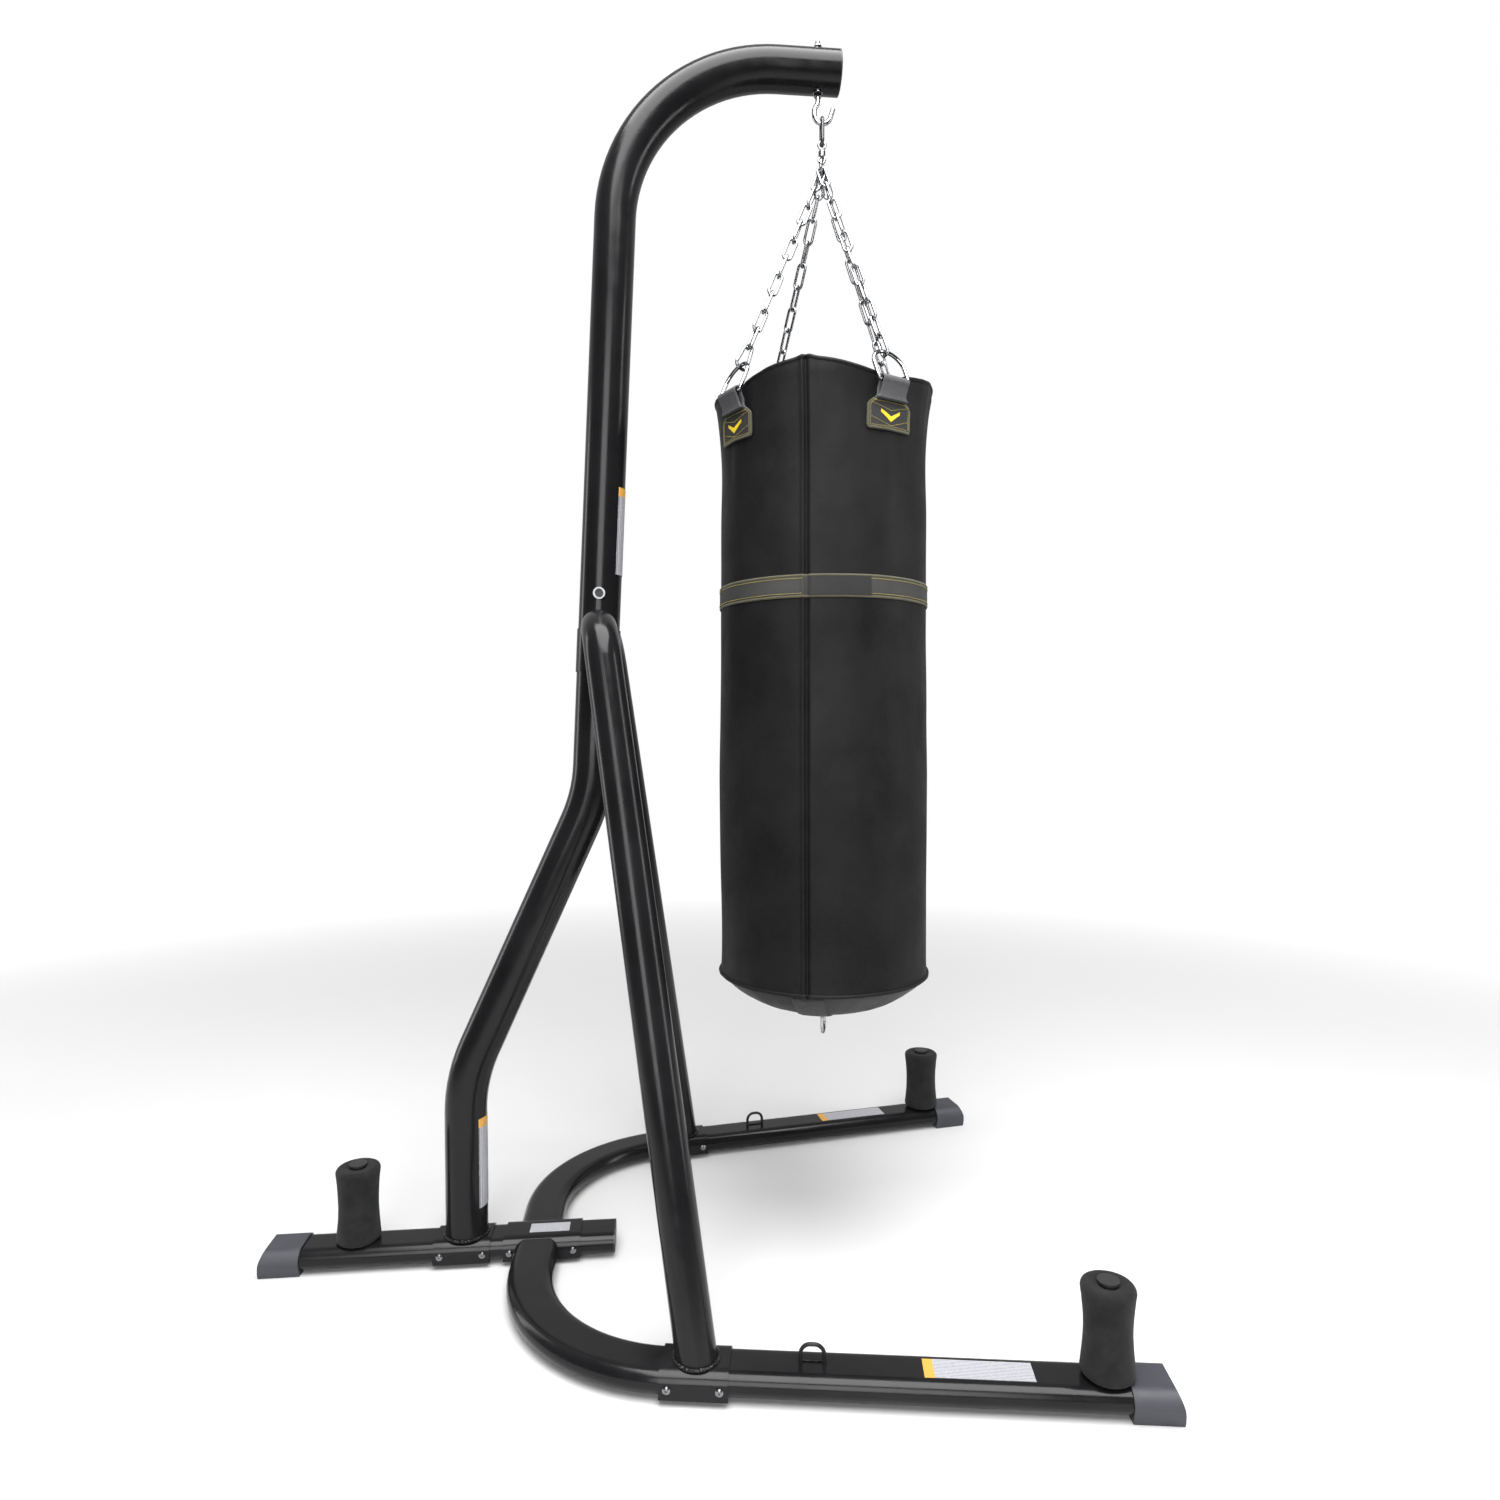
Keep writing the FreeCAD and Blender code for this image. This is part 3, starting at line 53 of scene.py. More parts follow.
# --- bag ---
SKIN_LOW, SKIN_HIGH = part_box("bag_skin")
HANG_X = (SKIN_LOW.x + SKIN_HIGH.x) / 2
BAG_RADIUS = (SKIN_HIGH.x - SKIN_LOW.x) / 2
BAG_TOP = SKIN_HIGH.z
BAG_BASE = SKIN_LOW.z
LID_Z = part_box("bag_lid")[0].z
DOME_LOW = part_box("bag_bottom_panel")[0].z
SKIN_THICKNESS = 0.003
SKIN_MARGIN = 0.0008  # the side keeps this far inside the bag's nominal radius
SEAM_ANGLE = math.radians(252)
SEAM_DEPTH = 0.0035  # the stitched groove of the side seam
SEAM_LAP = 0.0016  # the turned edge beside it
RIM_RISES = ((252, 0.015), (342, 0.017), (72, 0.008), (162, 0.004))  # bearing in degrees, and height
RIM_PEAK = 0.004  # rise of the rim at the side seam
RIM_DIP = 0.004  # drop of the rim at each tab
RIM_SWELL = 0.0075  # outward roll of the rim between the tabs
RIM_SWELL_REACH = 0.035
PIPING_RADIUS = 0.0034
PIPING_FLATTENED = 0.0014  # taken off the piping's radius under a tab
SWELL = 0.002  # soft swells low on the side and at the base
NECK_DEPTH = 0.0025  # shallow hollow below the rim
NECK_DROP = 0.11
LID_THICKNESS = 0.002
LID_GAP = 0.0035
PANEL_THICKNESS = 0.0026
WELT_RADIUS = 0.0028
BELT_LOW, BELT_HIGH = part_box("bag_belt")
BELT_THICKNESS = 0.0018
OVERLAP_LENGTH = 0.095  # the belt's end laps over itself beside the seam
TRIM_WIDTH = 0.0035
TRIM_THICKNESS = 0.0021

# --- strap tabs ---
TAB_ANGLES = [math.radians(a) for a in (207, 297, 27, 117)]
TAB_NAMES = ("rear_right", "front_right", "front_left", "rear_left")
TAB_HALF_TOP = 0.025
TAB_HALF_LOW = 0.042
TAB_BOTTOM_Z = 1.317
TAB_SHOULDER_Z = 1.367
TAB_SHOULDER_LOW_Z = 1.353
TAB_THICKNESS = 0.0026
TAB_CROSS_Z = TAB_SHOULDER_LOW_Z + 0.006  # stitches across the shoulder
TAB_CORNER = 0.007  # rounding of the bottom corners
TAB_LIFT = 0.0006  # clearance of a tab over the skin
TAB_FACE = TAB_LIFT + TAB_THICKNESS  # height of a tab's face over the skin
TAB_BORDER_RADIUS = 0.0022
THREAD_LIFT = 0.0003  # stitches stand this far over what they sew
RING_BAR_RADIUS = 0.181  # the D-ring's bar, from the bag's axis
RING_BAR_Z = 1.389
TAB_FOLD_RADIUS = 0.0058  # fold of the tab round that bar
CHEVRON_HALF = 0.018
CHEVRON_DEPTH = 0.008
CHEVRON_SLOPE = 0.62

# --- bottom strap ---
STRAP_HALF = 0.025
STRAP_THICKNESS = 0.0022
STRAP_RING_WIRE = 0.0025  # radius of the tether ring's wire
STRAP_FOLD_RADIUS = 0.0043
STRAP_FOLD_STOPS = (-0.0098, -0.004, 0.004, 0.0098)  # points across the fold's width
STRAP_FOLD_HALF = 0.0009  # half the fold's thickness

# --- foam sleeves ---
FOAM_END_RADIUS = 0.0344
FOAM_WAIST_RADIUS = 0.0306
FOAM_FLARE = 0.0038  # the difference between the two
FOAM_EDGE = 0.007  # rounding of the ends
FOAM_MOUTH_RADIUS = 0.0165
FOAM_BORE_RADIUS = 0.0131
PEG_REACH = 0.05  # every point of a sleeve is this near its peg's axis
FOAM_SIDES = 72

# --- labels ---
RAIL_FLARE = math.radians(9.34)  # bearing of the side rails
LABEL_WHITE = (0.43, 0.43, 0.46)
LABEL_GREY = (0.16, 0.16, 0.18)
LABEL_HEADER = (0.62, 0.31, 0.05)
LABEL_LINES = 13
RAIL_LABEL = (0.036, 0.013)  # width of a label, and length of its header
SADDLE_LABEL = (0.027, 0.0)
UPRIGHT_LABEL = (0.046, 0.014)

# --- studio ---
FLOOR_HALF = 9.0
FLOOR_COLOR = (0.6, 0.6, 0.6)
FLOOR_FADE = (1.2, 3.2)  # the floor fades out between these distances
SURROUND_DIM = 0.05  # light from the camera's side
SURROUND_BRIGHT = 0.55  # light from behind the object
SURROUND_TURN = (-0.35, 0.75)  # the brightness changes between these directions along Y
SOFTBOXES = (  # name, place, target, width, height and watts
    ("overhead", (0.2, -1.6, 3.6), (0.2, -1.4, 0.0), 3.0, 3.4, 330),
    ("front_strip", (-0.6, -4.6, 2.0), (-0.1, 0.0, 1.2), 2.3, 2.8, 140),
    ("left_strip", (-2.6, 0.9, 1.2), (0.1, 0.0, 0.9), 0.6, 2.2, 16),
    ("right_strip", (2.8, -0.6, 1.4), (0.1, 0.0, 1.0), 0.5, 2.4, 25),
)


# --- mesh helpers ---

def placed(name, data):
    """Object with this data, linked to the scene."""
    obj = bpy.data.objects.new(name, data)
    bpy.context.scene.collection.objects.link(obj)
    return obj


def new_object(name, vertices, faces, smooth=True):
    """Mesh object from plain lists, linked to the scene."""
    mesh = bpy.data.meshes.new(name)
    mesh.from_pydata([tuple(v) for v in vertices], [], faces)
    mesh.validate()
    if smooth:
        mesh.shade_smooth()
    return placed(name, mesh)


def face_outwards(obj):
    """Make every face of a closed mesh point out."""
    bm = bmesh.new()
    bm.from_mesh(obj.data)
    bmesh.ops.recalc_face_normals(bm, faces=bm.faces)
    bm.to_mesh(obj.data)
    bm.free()
    return obj


def grid_object(name, rows, loop_rows=False, loop_columns=False, smooth=True):
    """Quads over a table of points. Either direction can close on itself."""
    count = len(rows[0])
    vertices = [point for row in rows for point in row]
    faces = []
    for i in range(len(rows) - (0 if loop_rows else 1)):
        below = i * count
        above = ((i + 1) % len(rows)) * count
        for j in range(count - (0 if loop_columns else 1)):
            k = (j + 1) % count
            faces.append((below + j, below + k, above + k, above + j))
    return new_object(name, vertices, faces, smooth)


def joined(name, objects):
    """One object from several."""
    bm = bmesh.new()
    for obj in objects:
        bm.from_mesh(obj.data)
        bpy.data.objects.remove(obj)
    mesh = bpy.data.meshes.new(name)
    bm.to_mesh(mesh)
    bm.free()
    mesh.shade_smooth()
    return placed(name, mesh)


def capped(obj, triangles=True):
    """Close a mesh's open ends and turn its faces out."""
    bm = bmesh.new()
    bm.from_mesh(obj.data)
    bmesh.ops.holes_fill(bm, edges=[edge for edge in bm.edges if edge.is_boundary])
    if triangles:
        bmesh.ops.triangulate(bm, faces=[face for face in bm.faces if len(face.verts) > 4])
    bm.to_mesh(obj.data)
    bm.free()
    return face_outwards(obj)


def thicken(obj, thickness):
    """Turn a sheet into a closed body below its face, with smooth shading."""
    modifier = obj.modifiers.new("thickness", "SOLIDIFY")
    modifier.thickness = thickness
    modifier.offset = -1
    depsgraph = bpy.context.evaluated_depsgraph_get()
    mesh = bpy.data.meshes.new_from_object(obj.evaluated_get(depsgraph))
    obj.modifiers.clear()
    obj.data = mesh
    face_outwards(obj)
    obj.data.shade_smooth()


def finished(obj, material, body, slot, *replaced):
    """Give a piece its material, body and the CAD nodes it stands for. The slot argument is not used."""
    obj.data.materials.clear()
    obj.data.materials.append(material)
    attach(obj, body)
    if replaced:
        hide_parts(*replaced)


def circle(count):
    """Evenly spaced angles round a circle."""
    return [2 * math.pi * k / count for k in range(count)]


def toward(angle):
    """Level unit vector at a bearing."""
    return Vector((math.cos(angle), math.sin(angle), 0))


def wrap(angle):
    """Angle in -pi to pi."""
    return (angle + math.pi) % (2 * math.pi) - math.pi


def bump(x, width):
    """Bell curve: 1 at zero, fading over the width."""
    return math.exp(-(x / width) ** 2)


def smoothstep(low, high, x):
    """0 at low and 1 at high, with soft ends."""
    t = min(max((x - low) / (high - low), 0.0), 1.0)
    return t * t * (3 - 2 * t)


# --- materials ---

class Paint:
    """A Principled material with short calls for the nodes that feed it."""

    def __init__(self, name, color, roughness, metallic=0.0):
        self.material = bpy.data.materials.new(name)
        self.material.use_nodes = True
        self.tree = self.material.node_tree
        self.shader = self.tree.nodes["Principled BSDF"]
        self.shader.inputs["Base Color"].default_value = (*color, 1)
        self.shader.inputs["Roughness"].default_value = roughness
        self.shader.inputs["Metallic"].default_value = metallic
        self.place = self.node("ShaderNodeTexCoord").outputs["Object"]

    def node(self, kind, **settings):
        made = self.tree.nodes.new(kind)
        for key, value in settings.items():
            setattr(made, key, value)
        return made

    def link(self, source, target):
        self.tree.links.new(source, target)

    def stretched(self, scale):
        """Object coordinates, scaled differently along each axis."""
        mapping = self.node("ShaderNodeMapping")
        mapping.inputs["Scale"].default_value = scale
        self.link(self.place, mapping.inputs["Vector"])
        return mapping.outputs["Vector"]

    def noise(self, scale, detail=2.0, roughness=0.5, place=None):
        made = self.node("ShaderNodeTexNoise")
        made.inputs["Scale"].default_value = scale
        made.inputs["Detail"].default_value = detail
        made.inputs["Roughness"].default_value = roughness
        self.link(place or self.place, made.inputs["Vector"])
        return made.outputs["Fac"]

    def cells(self, scale):
        made = self.node("ShaderNodeTexVoronoi", feature="F1")
        made.inputs["Scale"].default_value = scale
        self.link(self.place, made.inputs["Vector"])
        return made.outputs["Distance"]

    def waves(self, scale, direction):
        made = self.node("ShaderNodeTexWave", bands_direction=direction)
        made.inputs["Scale"].default_value = scale
        self.link(self.place, made.inputs["Vector"])
        return made.outputs["Fac"]

    def math(self, operation, a, b):
        made = self.node("ShaderNodeMath", operation=operation)
        for index, value in enumerate((a, b)):
            if isinstance(value, (int, float)):
                made.inputs[index].default_value = value
            else:
                self.link(value, made.inputs[index])
        return made.outputs[0]

    def ranged(self, value, low, high, from_low=0.3, from_high=0.7):
        """Map a texture's usual range onto low to high."""
        made = self.node("ShaderNodeMapRange")
        made.inputs["From Min"].default_value = from_low
        made.inputs["From Max"].default_value = from_high
        made.inputs["To Min"].default_value = low
        made.inputs["To Max"].default_value = high
        self.link(value, made.inputs["Value"])
        return made.outputs["Result"]

    def mixed(self, share, first, second):
        """Colour between two, by a share."""
        made = self.node("ShaderNodeMix", data_type="RGBA")
        self.link(share, made.inputs[0])
        for index, color in ((6, first), (7, second)):
            if isinstance(color, tuple):
                made.inputs[index].default_value = (*color, 1)
            else:
                self.link(color, made.inputs[index])
        return made.outputs[2]

    def color(self, source):
        self.link(source, self.shader.inputs["Base Color"])

    def roughness(self, source):
        self.link(source, self.shader.inputs["Roughness"])

    def relief(self, height, distance, strength=1.0):
        """Bump, on top of any bump already there."""
        made = self.node("ShaderNodeBump")
        made.inputs["Strength"].default_value = strength
        made.inputs["Distance"].default_value = distance
        self.link(height, made.inputs["Height"])
        normal = self.shader.inputs["Normal"]
        if normal.is_linked:
            self.link(normal.links[0].from_socket, made.inputs["Normal"])
        self.link(made.outputs["Normal"], normal)

    def fixed(self, **values):
        """Uniform values, set straight on the shader's own sockets."""
        for name, value in values.items():
            self.shader.inputs[name.replace("_", " ")].default_value = value


def powder_coat(name, base, low_gloss, high_gloss, lumps=0.0):
    """Black powder coat: a fine orange peel, faint cloudiness and, on a weld, the lumps below it."""
    paint = Paint(name, base, low_gloss)
    cloud = paint.noise(9.0, 4.0)
    paint.color(paint.mixed(paint.ranged(cloud, 0.0, 1.0), base, tuple(c * 1.5 + 0.001 for c in base)))
    paint.roughness(paint.ranged(paint.noise(38.0, 3.0), low_gloss, high_gloss))
    paint.relief(paint.noise(520.0, 2.0), 0.00012, 0.55)
    paint.relief(paint.noise(70.0, 1.0), 0.0004, 0.12)
    if lumps:
        paint.relief(paint.cells(190.0), lumps, 0.8)
    paint.fixed(Specular_IOR_Level=0.22)
    return paint.material


def moulded_plastic(name, base, rough):
    """Moulded plastic with a spark-eroded grain."""
    paint = Paint(name, base, rough)
    tone = paint.noise(30.0, 3.0)
    paint.color(paint.mixed(paint.ranged(tone, 0.0, 1.0), base, tuple(c * 1.25 for c in base)))
    paint.roughness(paint.ranged(paint.noise(60.0, 3.0), rough - 0.06, rough + 0.08))
    paint.relief(paint.noise(1300.0, 2.0), 0.00015, 0.5)
    return paint.material


def foam_rubber():
    """Matt closed-cell foam, skinned, with open pores."""
    base = (0.006, 0.006, 0.0062)
    paint = Paint("foam_black", base, 0.9)
    tone = paint.noise(45.0, 4.0)
    paint.color(paint.mixed(paint.ranged(tone, 0.0, 1.0), base, (0.013, 0.013, 0.0135)))
    paint.roughness(paint.ranged(paint.noise(110.0, 2.0), 0.82, 0.97))
    paint.relief(paint.cells(620.0), 0.0006, 0.5)
    paint.relief(paint.noise(160.0, 3.0), 0.0008, 0.3)
    paint.fixed(Sheen_Weight=0.05, Sheen_Roughness=0.6, Specular_IOR_Level=0.16)
    return paint.material


def bright_metal(name, tint, low, high, edge=1.0):
    """Plated steel with fine polishing marks and duller patches. edge is its tint at a glancing angle; below
    1 it is painted shade, darkening the rims to stand in for reflected dark surroundings.
    """
    paint = Paint(name, tint, low, 1.0)
    patches = paint.noise(160.0, 4.0)
    paint.color(paint.mixed(paint.ranged(patches, 0.0, 1.0), tint, tuple(c * 0.86 for c in tint)))
    paint.roughness(paint.ranged(paint.noise(420.0, 3.0), low, high))
    paint.relief(paint.noise(900.0, 2.0), 0.00006, 0.35)
    # an edge tint below 1 paints shade into the glancing reflections
    paint.fixed(Specular_Tint=(edge, edge, edge, 1))
    return paint.material


def leather(name, dark, light, low, high, grain=1.0):
    """Coated synthetic leather: pebbled grain, creases and rubbed, cloudy patches."""
    paint = Paint(name, dark, low)
    cloud = paint.noise(7.0, 5.0, 0.62)
    fine = paint.noise(240.0, 3.0)
    tone = paint.mixed(paint.ranged(cloud, 0.0, 1.0, 0.38, 0.68), dark, light)
    worn = paint.mixed(paint.ranged(fine, 0.0, 0.35), tone, light)
    paint.color(worn)
    paint.roughness(paint.ranged(paint.noise(16.0, 4.0), low, high))
    paint.relief(paint.cells(820.0), 0.00022 * grain, 0.6)
    paint.relief(paint.noise(300.0, 3.0), 0.0003 * grain, 0.4)
    paint.relief(paint.noise(34.0, 4.0, 0.6, paint.stretched((1.0, 1.0, 0.45))), 0.0016, 0.35)
    paint.fixed(Specular_IOR_Level=0.13)
    return paint.material


def webbing(name, dark, light, pitch=900.0):
    """Woven strap: fine ribs in both directions."""
    paint = Paint(name, dark, 0.8)
    ribs = paint.waves(pitch, "Z")
    across = paint.waves(pitch * 0.6, "DIAGONAL")
    weave = paint.math("MULTIPLY", ribs, across)
    paint.color(paint.mixed(paint.ranged(weave, 0.0, 1.0, 0.0, 1.0), dark, light))
    paint.roughness(paint.ranged(paint.noise(90.0, 3.0), 0.7, 0.9))
    paint.relief(weave, 0.0003, 0.7)
    paint.fixed(Sheen_Weight=0.1)
    return paint.material


def label_print(name, along, across, start, size):
    """Printed vinyl: plain grey lines in place of words and, on most labels, a coloured header block."""
    width, header = size
    paint = Paint(name, LABEL_WHITE, 0.45)

    def measured(direction, origin):
        dot = paint.node("ShaderNodeVectorMath", operation="DOT_PRODUCT")
        shifted = paint.node("ShaderNodeVectorMath", operation="SUBTRACT")
        paint.link(paint.place, shifted.inputs[0])
        shifted.inputs[1].default_value = origin
        paint.link(shifted.outputs["Vector"], dot.inputs[0])
        dot.inputs[1].default_value = direction
        return dot.outputs["Value"]

    run = measured(along, start)
    rise = measured(across, start)
    lines = paint.math("FRACT", paint.math("DIVIDE", rise, width / LABEL_LINES), 0.0)
    line = paint.math("LESS_THAN", lines, 0.42)
    inked = paint.math("MULTIPLY", line, paint.math("GREATER_THAN", paint.noise(800.0), 0.4))
    paper = paint.mixed(inked, LABEL_WHITE, LABEL_GREY)
    if header:
        paper = paint.mixed(paint.math("LESS_THAN", run, header), paper, LABEL_HEADER)
    paint.color(paper)
    paint.roughness(paint.ranged(paint.noise(80.0, 2.0), 0.35, 0.55))
    return paint.material


def stitch_thread(name, color):
    """Waxed thread with a twist."""
    paint = Paint(name, color, 0.6)
    twist = paint.waves(1500.0, "DIAGONAL")
    paint.color(paint.mixed(paint.ranged(twist, 0.0, 1.0, 0.0, 1.0), color, tuple(c * 0.6 for c in color)))
    paint.roughness(paint.ranged(paint.noise(300.0, 2.0), 0.5, 0.7))
    paint.relief(twist, 0.0001, 0.5)
    return paint.material


BLACK_GLOSS = powder_coat("black_powder_coat", (0.0055, 0.0055, 0.006), 0.15, 0.24)
PAINTED_WELD = powder_coat("black_painted_weld", (0.0055, 0.0055, 0.006), 0.14, 0.24, 0.003)
BLACK_SATIN = powder_coat("black_satin_paint", (0.009, 0.009, 0.0095), 0.35, 0.45)
FOOT_PLASTIC = moulded_plastic("foot_plastic", (0.032, 0.033, 0.041), 0.5)
PLUG_PLASTIC = moulded_plastic("plug_plastic", (0.012, 0.012, 0.013), 0.45)
FOAM = foam_rubber()
ZINC = bright_metal("bright_zinc", (0.17, 0.173, 0.18), 0.22, 0.36)
BOLT_BLACK = bright_metal("bolt_black", (0.02, 0.02, 0.021), 0.2, 0.32)
# hook and chain take a low edge tint: painted shade that darkens their rims, standing in for dark
# surroundings in the reflection
CHROME = bright_metal("hook_chrome", (0.46, 0.465, 0.48), 0.05, 0.12, 0.12)
CHAIN_CHROME = bright_metal("chain_chrome", (0.42, 0.425, 0.44), 0.06, 0.16, 0.1)
BLACK_STEEL = bright_metal("black_oxide_steel", (0.26, 0.26, 0.27), 0.18, 0.32)
DARK_STEEL = bright_metal("dark_steel", (0.1, 0.1, 0.11), 0.25, 0.4)
BAG_LEATHER = leather("bag_leather", (0.0042, 0.0042, 0.0045), (0.0105, 0.0105, 0.011), 0.46, 0.62)
BASE_LEATHER = leather("base_leather", (0.016, 0.016, 0.017), (0.028, 0.028, 0.03), 0.38, 0.52)
TAB_LEATHER = leather("tab_leather", (0.026, 0.026, 0.0265), (0.042, 0.042, 0.043), 0.5, 0.66, 1.6)
# lighter copy of the tab leather for the tab's upper part: painted light standing in for the light that
# falls on it
TAB_BAND_PAINTED_LIGHT = leather("tab_band_painted_light_leather", (0.075, 0.075, 0.079), (0.115, 0.115, 0.12), 0.48, 0.62, 1.6)
BELT_LEATHER = leather("belt_leather", (0.036, 0.036, 0.035), (0.055, 0.055, 0.053), 0.5, 0.65, 1.2)
BELT_DARK = leather("belt_end_leather", (0.02, 0.02, 0.021), (0.03, 0.03, 0.031), 0.5, 0.62, 1.2)
TRIM_OLIVE = webbing("olive_trim", (0.06, 0.056, 0.03), (0.12, 0.108, 0.055))
LINER_FABRIC = webbing("lid_fabric", (0.012, 0.012, 0.012), (0.02, 0.02, 0.02), 500.0)
STRAP_WEB = webbing("black_webbing", (0.008, 0.008, 0.008), (0.018, 0.018, 0.018))
YELLOW_THREAD = stitch_thread("yellow_thread", (0.42, 0.34, 0.07))
MOTIF_YELLOW = moulded_plastic("motif_yellow", (0.62, 0.45, 0.01), 0.5)


def paint_node(material, *names):
    """Assign a material to CAD nodes that keep their own shape."""
    for name in names:
        obj = nodes[name]
        obj.data.materials.clear()
        obj.data.materials.append(material)


paint_node(BLACK_GLOSS, "rear_base_tube", "curve_tube_left", "curve_tube_right", "side_rail_left",
           "side_rail_right", "rear_saddle", "centre_saddle", "side_saddle_left", "side_saddle_right",
           "lower_upright", "upper_upright", "leg_collar", "side_leg_left", "side_leg_right")
paint_node(PAINTED_WELD, "weld_beads")
paint_node(BLACK_SATIN, "tie_loop_left", "tie_loop_right", "weight_pegs")
paint_node(FOOT_PLASTIC, "foot_rear", "foot_left", "foot_right")
paint_node(PLUG_PLASTIC, "base_stub_plug", "arm_end_plug", "peg_caps")
paint_node(BLACK_STEEL, "saddle_screws")
paint_node(ZINC, "joint_washers")
paint_node(CHROME, "hook_bolt", "hook_acorn_nut", "hook_lock_nut", "hook_washers", "swivel_eye",
           "swivel_barrel", "chain_ring", "strap_rings", "bottom_ring")
paint_node(CHAIN_CHROME, "chain_front_left", "chain_front_right", "chain_rear_left",
           "chain_rear_right", "pear_link")
paint_node(DARK_STEEL, "hanging_link", "joint_nut")
paint_node(BOLT_BLACK, "joint_bolt")


# --- bag surface ---

def from_axis(theta, radius, z):
    """Point at a bearing and distance from the bag's axis."""
    return Vector((HANG_X + radius * math.cos(theta), radius * math.sin(theta), z))


def seam_distance(theta):
    """Distance along the bag's surface from the side seam."""
    return wrap(theta - SEAM_ANGLE) * BAG_RADIUS


def tab_distances(theta):
    """Distances along the bag's surface from the middle of each tab."""
    return [wrap(theta - tab) * BAG_RADIUS for tab in TAB_ANGLES]


def rim_height(theta):
    """The sewn rim is a little uneven and peaks at the side seam."""
    peak = RIM_PEAK * bump(seam_distance(theta), 0.014)
    crests = sum(height * bump(wrap(theta - math.radians(bearing)), 0.42) for bearing, height in RIM_RISES)
    dips = sum(RIM_DIP * bump(distance, 0.04) for distance in tab_distances(theta))
    roll = 0.002 * noise.noise(Vector((2 * math.cos(theta), 2 * math.sin(theta), 4.0)))
    return BAG_TOP + crests + peak - dips + roll


def bag_radius(theta, z):
    """Outer radius of the filled bag: swells, unevenness, the seam, and puckers below the tabs."""
    below_rim = BAG_TOP - z
    above_base = z - BAG_BASE
    tabs = tab_distances(theta)
    radius = BAG_RADIUS - SKIN_MARGIN
    held = min(sum(bump(distance, 0.05) for distance in tabs), 1.0)
    radius += RIM_SWELL * (1 - 0.85 * held) * math.exp(-max(below_rim, 0.0) / RIM_SWELL_REACH)
    radius -= NECK_DEPTH * bump(below_rim - NECK_DROP, 0.07)
    radius += SWELL * bump(above_base - 0.25, 0.2)
    radius += SWELL * math.exp(-max(above_base, 0.0) / 0.015)
    around = toward(theta)
    radius += 0.0022 * noise.noise(around * 1.6 + Vector((0, 0, z * 3.0)))
    radius += 0.0009 * noise.noise(around * 4.5 + Vector((3, 0, z * 9.0)))
    folds = noise.noise(around * 9.0 + Vector((0, 5, z * 5.0)))
    radius += 0.0011 * folds * (bump(below_rim, 0.12) + 0.5 * bump(above_base, 0.08))
    along = seam_distance(theta)
    pucker = 1 + 0.3 * noise.noise(Vector((0, 0, z * 60)))
    radius -= SEAM_DEPTH * pucker * bump(along, 0.0028)
    radius += SEAM_LAP * pucker * bump(along + 0.0055, 0.0032)
    radius += 0.0007 * bump(along - 0.007, 0.004)
    for distance in tabs:
        pull = bump(distance, 0.03) * bump(z - TAB_BOTTOM_Z + 0.03, 0.05)
        radius += 0.0012 * pull * math.cos(distance / 0.007)
    return radius


def bag_point(theta, z, out=0.0):
    return from_axis(theta, bag_radius(theta, z) + out, z)


def bag_angles(coarse=0.0045, fine=0.0012, reach=0.02):
    """Bearings round the bag, closer together near the side seam."""
    angles = []
    along = -reach
    while along < reach:
        angles.append(along / BAG_RADIUS)
        along += fine
    count = round((2 * math.pi * BAG_RADIUS - 2 * reach) / coarse)
    start = reach / BAG_RADIUS
    step = (2 * math.pi - 2 * start) / count
    angles += [start + step * k for k in range(count)]
    return [SEAM_ANGLE + angle for angle in angles]


def make_bag_body():
    """The bag's side: outer skin, turned rim and the inside down to the base."""
    height = BAG_TOP - BAG_BASE
    heights = [0.0, 0.002, 0.005, 0.01, 0.016]
    z = 0.024
    while z < height - 0.02:
        heights.append(z)
        z += 0.008
    heights += [height - 0.016, height - 0.01, height - 0.005, height]
    angles = bag_angles()
    rims = [rim_height(theta) for theta in angles]
    rows = []
    for h in heights:
        share = smoothstep(height - 0.12, height, h)
        rows.append([bag_point(theta, BAG_BASE + h + (rim - BAG_TOP) * share)
                     for theta, rim in zip(angles, rims)])
    inner_start = LID_Z - 0.004
    for k in range(6):
        rows.append([bag_point(theta, rim + (inner_start - rim) * k / 5, -SKIN_THICKNESS)
                     for theta, rim in zip(angles, rims)])
    inner_rows = 90
    for k in range(1, inner_rows + 1):
        z = inner_start + (BAG_BASE + 0.002 - inner_start) * k / inner_rows
        rows.append([bag_point(theta, z, -SKIN_THICKNESS) for theta in angles])
    body = face_outwards(grid_object("bag_body", rows, loop_rows=True, loop_columns=True))
    finished(body, BAG_LEATHER, "bag", "bag_leather", "bag_skin")


def make_padding():
    """Packed filling with its liner, as one body that follows the inside of the skin."""
    angles = circle(128)
    gap = SKIN_THICKNESS + 0.001
    low = BAG_BASE + 0.004
    top = LID_Z - 0.0025
    rows = []
    for k in range(1, 12):
        share = k / 12
        centre = Vector((HANG_X, 0, dome_height(share * BAG_RADIUS) + 0.005))
        rows.append([centre + toward(angle) * share * (BAG_RADIUS - gap) for angle in angles])
    for k in range(40):
        rows.append([bag_point(angle, low + (top - low) * k / 39, -gap) for angle in angles])
    padding = capped(grid_object("bag_padding", rows, loop_columns=True))
    finished(padding, LINER_FABRIC, "bag", "filling", "bag_liner", "bag_filling")


